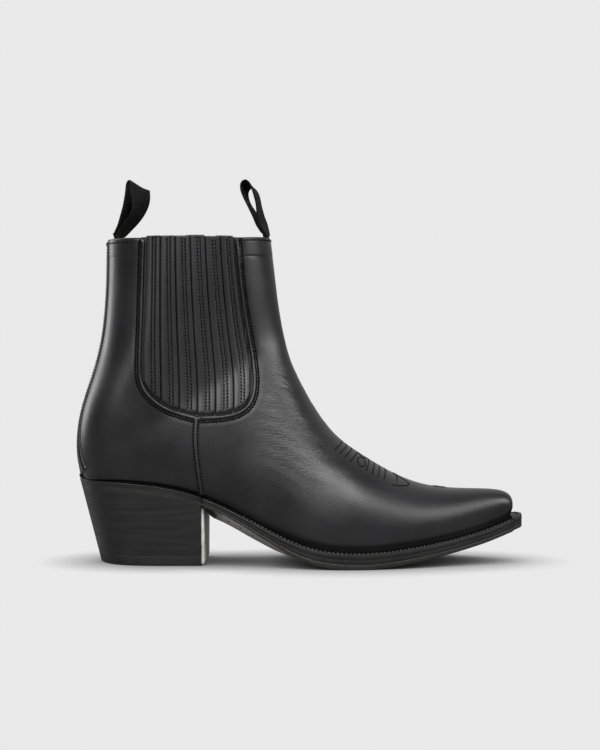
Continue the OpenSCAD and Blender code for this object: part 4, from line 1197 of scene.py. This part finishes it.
# --- sock liner
def sock(name, inset, bottom, top):
    s = np.linspace(1.75, 13.1, 120)
    z = feather(s, 1)[..., 2]
    f = np.linspace(0, 1, 40)
    a, b = outline(s, -1, -inset + 0 * s), outline(s, 1, -inset + 0 * s)
    flat = a[:, None] * (1 - f[None, :, None]) + b[:, None] * f[None, :, None]
    width = np.linalg.norm(b - a, axis=1)
    border = np.minimum(f[None] * width[:, None], (1 - f[None]) * width[:, None])
    high = np.broadcast_to((z + top)[:, None], border.shape) - rounded(border, 1.2, 0.6) \
        - 0.5 * 4 * f[None] * (1 - f[None])
    low = np.broadcast_to((z + bottom)[:, None], border.shape)
    upper = np.dstack([flat, high[..., None]])
    lower = np.dstack([flat, low[..., None]])
    return shell_object(name, upper, lower, SOCK)


ride_slot(sock("vis_sock_liner", 3.6, 2.1, 3.1), "sock_leather", "sock_liner")


# --- pull loops
FRONT_HALF = [[1, 0], [1.15, 0.16], [1.7, 0.38], [3.3, 0.64], [3.4, 0.88]]
REAR_HALF = [[1, 0], [1.5, 0.16], [3.1, 0.36], [3.75, 0.57], [2.6, 0.84]]
FRONT_TWIST = [[-0.06, 0, 16, 0], [0.02, 3, 15.7, 0], [0.2, 5, 15, 0], [0.6, 2.8, 15.6, -1],
               [1, 4.5, 14.5, -4]]
REAR_TWIST = [[-0.06, 0, 16, 0], [0.02, 4, 15.5, 0], [0.5, 6.5, 14.4, -2], [1, 12, 7.3, -7.6]]
LOOP_TALL, WEB_HALF = 31.0, 8.0


def pull_loop(name, foot, half, lean, early, twist, into):
    """A twisted band of webbing. into is how far its ends run down inside the top line."""
    path = knots(half + [[0, 1.02]] + [[-x, f] for x, f in half[::-1]])
    p = along(path, np.linspace(0, 10, 150))
    tail = np.linspace(into, 0, 14)[:-1]
    first = np.column_stack([np.full(13, p[0, 0]), -tail / LOOP_TALL])
    last = np.column_stack([np.full(13, p[-1, 0]), -tail[::-1] / LOOP_TALL])
    p = np.concatenate([first, p, last])
    f = np.clip(p[:, 1], 0, 1)[:, None]
    flat = np.column_stack([p[:, 0], p[:, 1] * LOOP_TALL])
    table = np.array(twist, float)
    wide = unit(np.stack([soft_lookup(p[:, 1], table[:, [0, k]], 0.04) for k in (1, 2, 3)], -1))
    cross = unit(np.cross(wide, [0, 0, 1.0]))
    middle = foot + np.array([lean, 0, 0]) * (1 - (1 - f) ** early) + cross * flat[:, :1] \
        + np.array([0, 0, 1.0]) * flat[:, 1:]
    run = unit(np.gradient(middle, axis=0))
    out = unit(np.cross(run, wide))
    wide = unit(np.cross(out, run))
    # a band section: flat faces, thick rounded selvedges
    share = np.linspace(-1, 1, 19)
    plump = 0.55 + 0.09 * bell(np.abs(share), 0.93, 0.07) - 0.5 * smooth(np.abs(share), 0.965, 1)
    length = lengths(middle)
    sway = 0.25 * np.sin(length * 0.21 + 1.0)[:, None] * (1 - np.abs(share))[None]
    rings, uv = [], []
    for sign in (1, -1):
        order, thick, bend = share[::sign], plump[::sign], sway[:, ::sign]
        rings.append(middle[:, None] + wide[:, None] * (order * WEB_HALF)[None, :, None]
                     + out[:, None] * (sign * thick[None] + bend)[..., None])
        uv.append(np.stack(np.broadcast_arrays((order * 0.008 + 0.02)[None],
                                               (length * MM)[:, None]), -1))
    return ringed_object(name, np.concatenate(rings, 1), WEBBING,
                         np.concatenate(uv, 1).reshape(-1, 2))


FRONT_FOOT = np.array([-21.4, 0, 205.5])
REAR_FOOT = np.array([-114.4, 0, 204.2])
for name, foot, half, lean, early, twist, into in (
        ("front", FRONT_FOOT, FRONT_HALF, -11, 1.3, FRONT_TWIST, 6.0),
        ("rear", REAR_FOOT, REAR_HALF, 12.7, 2.0, REAR_TWIST, 13.0)):
    loop = pull_loop(f"vis_pull_loop_{name}", foot, half, lean, early, twist, into)
    start = (foot + np.array([0, 0, -3.5])) * MM
    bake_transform(loop)
    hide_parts(f"pull_loop_{name}")


# --- stitching on the upper
seams = Thread()
for side_name, side in SIDES:
    gore = GORE_XYZ[side]
    out = normals(*flip_turn(GORE_LINE, side).T)
    away = unit(np.cross(unit(np.gradient(gore, axis=0)), out)) * -side
    for shift in (2.15, 3.6):
        seams.row(gore + away * shift - out * 0.12, out, 0.52, length=1.3, lean=0.4 * side)
    seam_place = flip_turn(SEAM_LINE, side).T
    out = normals(*seam_place)
    base = skin(*seam_place, -0.92)
    across = unit(np.cross(unit(np.gradient(base, axis=0)), out))
    for shift in (-SEAM_ROW, SEAM_ROW):
        seams.row((base + across * shift)[3:], out[3:], 0.5)
for sign in (-1, 1):
    s = np.linspace(14.12, 19.95, 200)
    turn = 180 + sign * (stay_turn(s) - 3.2)
    line = skin(s, turn, -0.8 - organic(skin(s, turn)))
    line[:, 2] -= STAY_SINK * (1 - smooth(line[:, 2], 54, 60))
    seams.row(line, normals(s, turn), 0.4, pitch=1.9, sink=-0.08)


def on_leather(s, turn, depth=0.0):
    """Places on the outer leather with its relief, away from the gores."""
    base = skin(s, turn)
    lift = organic(base) * smooth(s, 0.2, 1.6) + instep_folds(base)
    return skin(s, turn, depth - lift)


def top_row(low, high, drop, count=160, depth=0.1):
    turn = np.linspace(low, high, count)
    s = top_line(turn)[:, 0] - drop
    seams.row(on_leather(s, turn, depth), normals(s, turn), 0.42)


front_end = flank_curve(GORE_FRONT, 0)[1] - 7
rear_end = flank_curve(GORE_REAR, 0)[1] + 8
top_row(-front_end, front_end, 0.141)
top_row(rear_end, 180 - 14.5, 0.09, 60)
top_row(180 + 14.5, 360 - rear_end, 0.09, 60)
top_row(180 - 11.5, 180 + 11.5, 0.09, 60, -0.85)

# toe ornament: two sets of four wrinkle rows, a loop between them and a plain point in front
emblem = Thread()
ridge_s = np.linspace(1.5, 12, 600)
ridge_x = skin(ridge_s, 0)[:, 0]


def ornament(points):
    """points are [x on the ridge, degrees of turn]; the row lies on the leather between them."""
    at = along(knots(points), np.linspace(0, len(points) - 1, 60))
    s = np.interp(-at[:, 0], -ridge_x, ridge_s)
    for side in (1, -1):
        turn = at[:, 1] * side
        # each row lies over a black band of painted shade
        emblem.row(on_leather(s, turn, -0.05), normals(s, turn), 0.3, pitch=1.55, sink=0.02,
                   painted_groove_shade=0.34)


for line in [
        *([[x, 7], [x - 0.8, 18], [x - 3.4, 32]] for x in (26.5, 29.4, 32.4, 35.8)),
        *([[x, 7], [x - 0.3, 20], [x - 1.3, 34]] for x in (43.0, 46.4, 49.8, 53.4)),
        [[36.5, 7], [39.5, 16], [41.0, 25], [38.5, 32], [35.8, 25], [38.0, 16], [42.0, 8]],
        [[58.5, 7], [63.5, 13], [68.0, 22], [64.0, 31], [57.0, 37]],
        [[60.0, 7], [60.4, 16], [60.0, 26]],
        [[84, 5], [88, 3], [92, 1.2]]]:
    ornament(line)
emblem.build("vis_toe_stitching", "upper_leather", DARK_THREAD)
seams.build("vis_upper_stitching", "upper_leather")
for side_name, side in SIDES:
    threads[side].build(f"vis_strip_stitching_{side_name}", "strip_leather")


# --- CAD nodes that stay
STRIP_NODES = " ".join(f"gore_strip_{name}_{k}" for name, _ in SIDES for k in range(1, 7))
DRESS = (
    (BLACK_CALF, "front_upper quarter_lateral quarter_medial"),
    (TRIM_CALF, "backstay seam_strip_lateral seam_strip_medial"),
    (STRIP_CALF, STRIP_NODES),
    (ELASTIC, "gore_elastic_lateral gore_elastic_medial loop_anchor_front loop_anchor_rear"),
    (LINING, "front_lining quarter_lining_lateral quarter_lining_medial front_facing rear_facing"),
    (BOARD, "toe_puff heel_counter insole_board"), (SOCK, "sock_liner"), (CORK, "cork_filler"),
    (STEEL, "steel_shank heel_nails"), (SOLE_EDGE, "welt midsole"), (RAND_EDGE, "heel_rand"),
    (OUTSOLE, "outsole"), (PEG_WOOD, "waist_pegs"), (BREAST, "heel_breast_cover"),
    (HEEL_STACK, "heel_wedge heel_lift_1 heel_lift_2 heel_lift_3 heel_lift_4 heel_lift_5"),
    (RUBBER, "top_piece"), (WEBBING, "pull_loop_front pull_loop_rear"))
for material, nodes in DRESS:
    for node in nodes.split():
        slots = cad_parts[node].data.materials
        slots.clear()
        slots.append(material)


# --- stage
BACKDROP = 0.82
WHITE = (1, 1, 1, 1)


def stage_plane():
    """A white floor that glows as the backdrop does; for all but camera rays it glows less, in
    place of the light a white floor throws back, and ambient occlusion darkens its glow under the
    boot as a painted shadow.
    """
    mesh = bpy.data.meshes.new("studio_floor_painted_shadow")
    r = 14.0
    mesh.from_pydata([(-r, -r, 0), (r, -r, 0), (r, r, 0), (-r, r, 0)], [], [(0, 1, 2, 3)])
    mat = bpy.data.materials.new("studio_floor_painted_shadow")
    mat.use_nodes = True
    tree = mat.node_tree
    tree.nodes.clear()
    # painted shadow: ambient occlusion darkens the floor's glow under and around the boot
    painted_shadow = add_node(tree, "AmbientOcclusion", {"Distance": 0.04}, samples=12)
    power = add_node(tree, "Math", {0: painted_shadow.outputs["AO"], 1: 1.4}, operation="POWER")
    seen = add_node(tree, "MapRange", {
        "Value": add_node(tree, "LightPath").outputs["Is Camera Ray"], "To Min": 0.3,
        "To Max": BACKDROP})
    level = add_node(tree, "Math", {0: power.outputs[0], 1: seen.outputs["Result"]},
                     operation="MULTIPLY")
    glow = add_node(tree, "Emission", {"Color": WHITE, "Strength": level.outputs[0]})
    add_node(tree, "OutputMaterial", {"Surface": glow.outputs[0]})
    mesh.materials.append(mat)
    return link_new("studio_floor_painted_shadow", mesh)


def studio_world():
    """An even backdrop for the camera; the boot itself is lit more from behind."""
    world = bpy.data.worlds.new("studio")
    bpy.context.scene.world = world
    world.use_nodes = True
    tree = world.node_tree
    split = add_node(tree, "SeparateXYZ", {0: add_node(tree, "TexCoord").outputs["Generated"]})
    behind = add_node(tree, "MapRange", {"Value": split.outputs["Y"], "From Min": -0.1,
                                         "From Max": 0.6, "To Min": 0.07, "To Max": 0.5})
    level = add_node(tree, "MapRange", {
        "Value": add_node(tree, "LightPath").outputs["Is Camera Ray"],
        "To Min": behind.outputs["Result"], "To Max": BACKDROP})
    fill(tree, tree.nodes["Background"], {"Color": WHITE, "Strength": level.outputs["Result"]})


def soft_box(name, place, target, size, energy):
    data = bpy.data.lights.new(name, "AREA")
    data.shape = "RECTANGLE"
    data.size, data.size_y = size
    data.energy = energy
    obj = link_new(name, data)
    obj.location = place
    aim = Vector(target) - Vector(place)
    obj.rotation_euler = aim.to_track_quat("-Z", "Y").to_euler()


stage_plane()
studio_world()
soft_box("key_left", (-0.62, -1.05, 1.0), (-0.05, 0, 0.07), (0.7, 0.6), 24)
soft_box("key_right", (1.2, -0.62, 0.72), (0, 0, 0.1), (0.6, 0.8), 13)
soft_box("front", (0.1, -1.0, 1.4), (0.03, 0, 0.06), (1.4, 0.8), 34)
soft_box("rim_left", (-1.1, 0.7, 0.5), (-0.1, 0, 0.1), (0.4, 0.9), 5)

# the photograph's camera: level, and square to the boot's outer side
LENS, CAMERA_AWAY, CAMERA_HEIGHT = 46.56, 0.91665, 0.1168
camera_data = bpy.data.cameras.new("camera")
camera_data.sensor_fit = "VERTICAL"
camera_data.sensor_height = 24
camera_data.lens = LENS
camera = link_new("camera", camera_data)
camera.location = (0, -CAMERA_AWAY, CAMERA_HEIGHT)
camera.rotation_euler = (math.pi / 2, 0, 0)
scene = bpy.context.scene
scene.camera = camera
scene.view_settings.view_transform = "Standard"
scene.view_settings.look = "None"
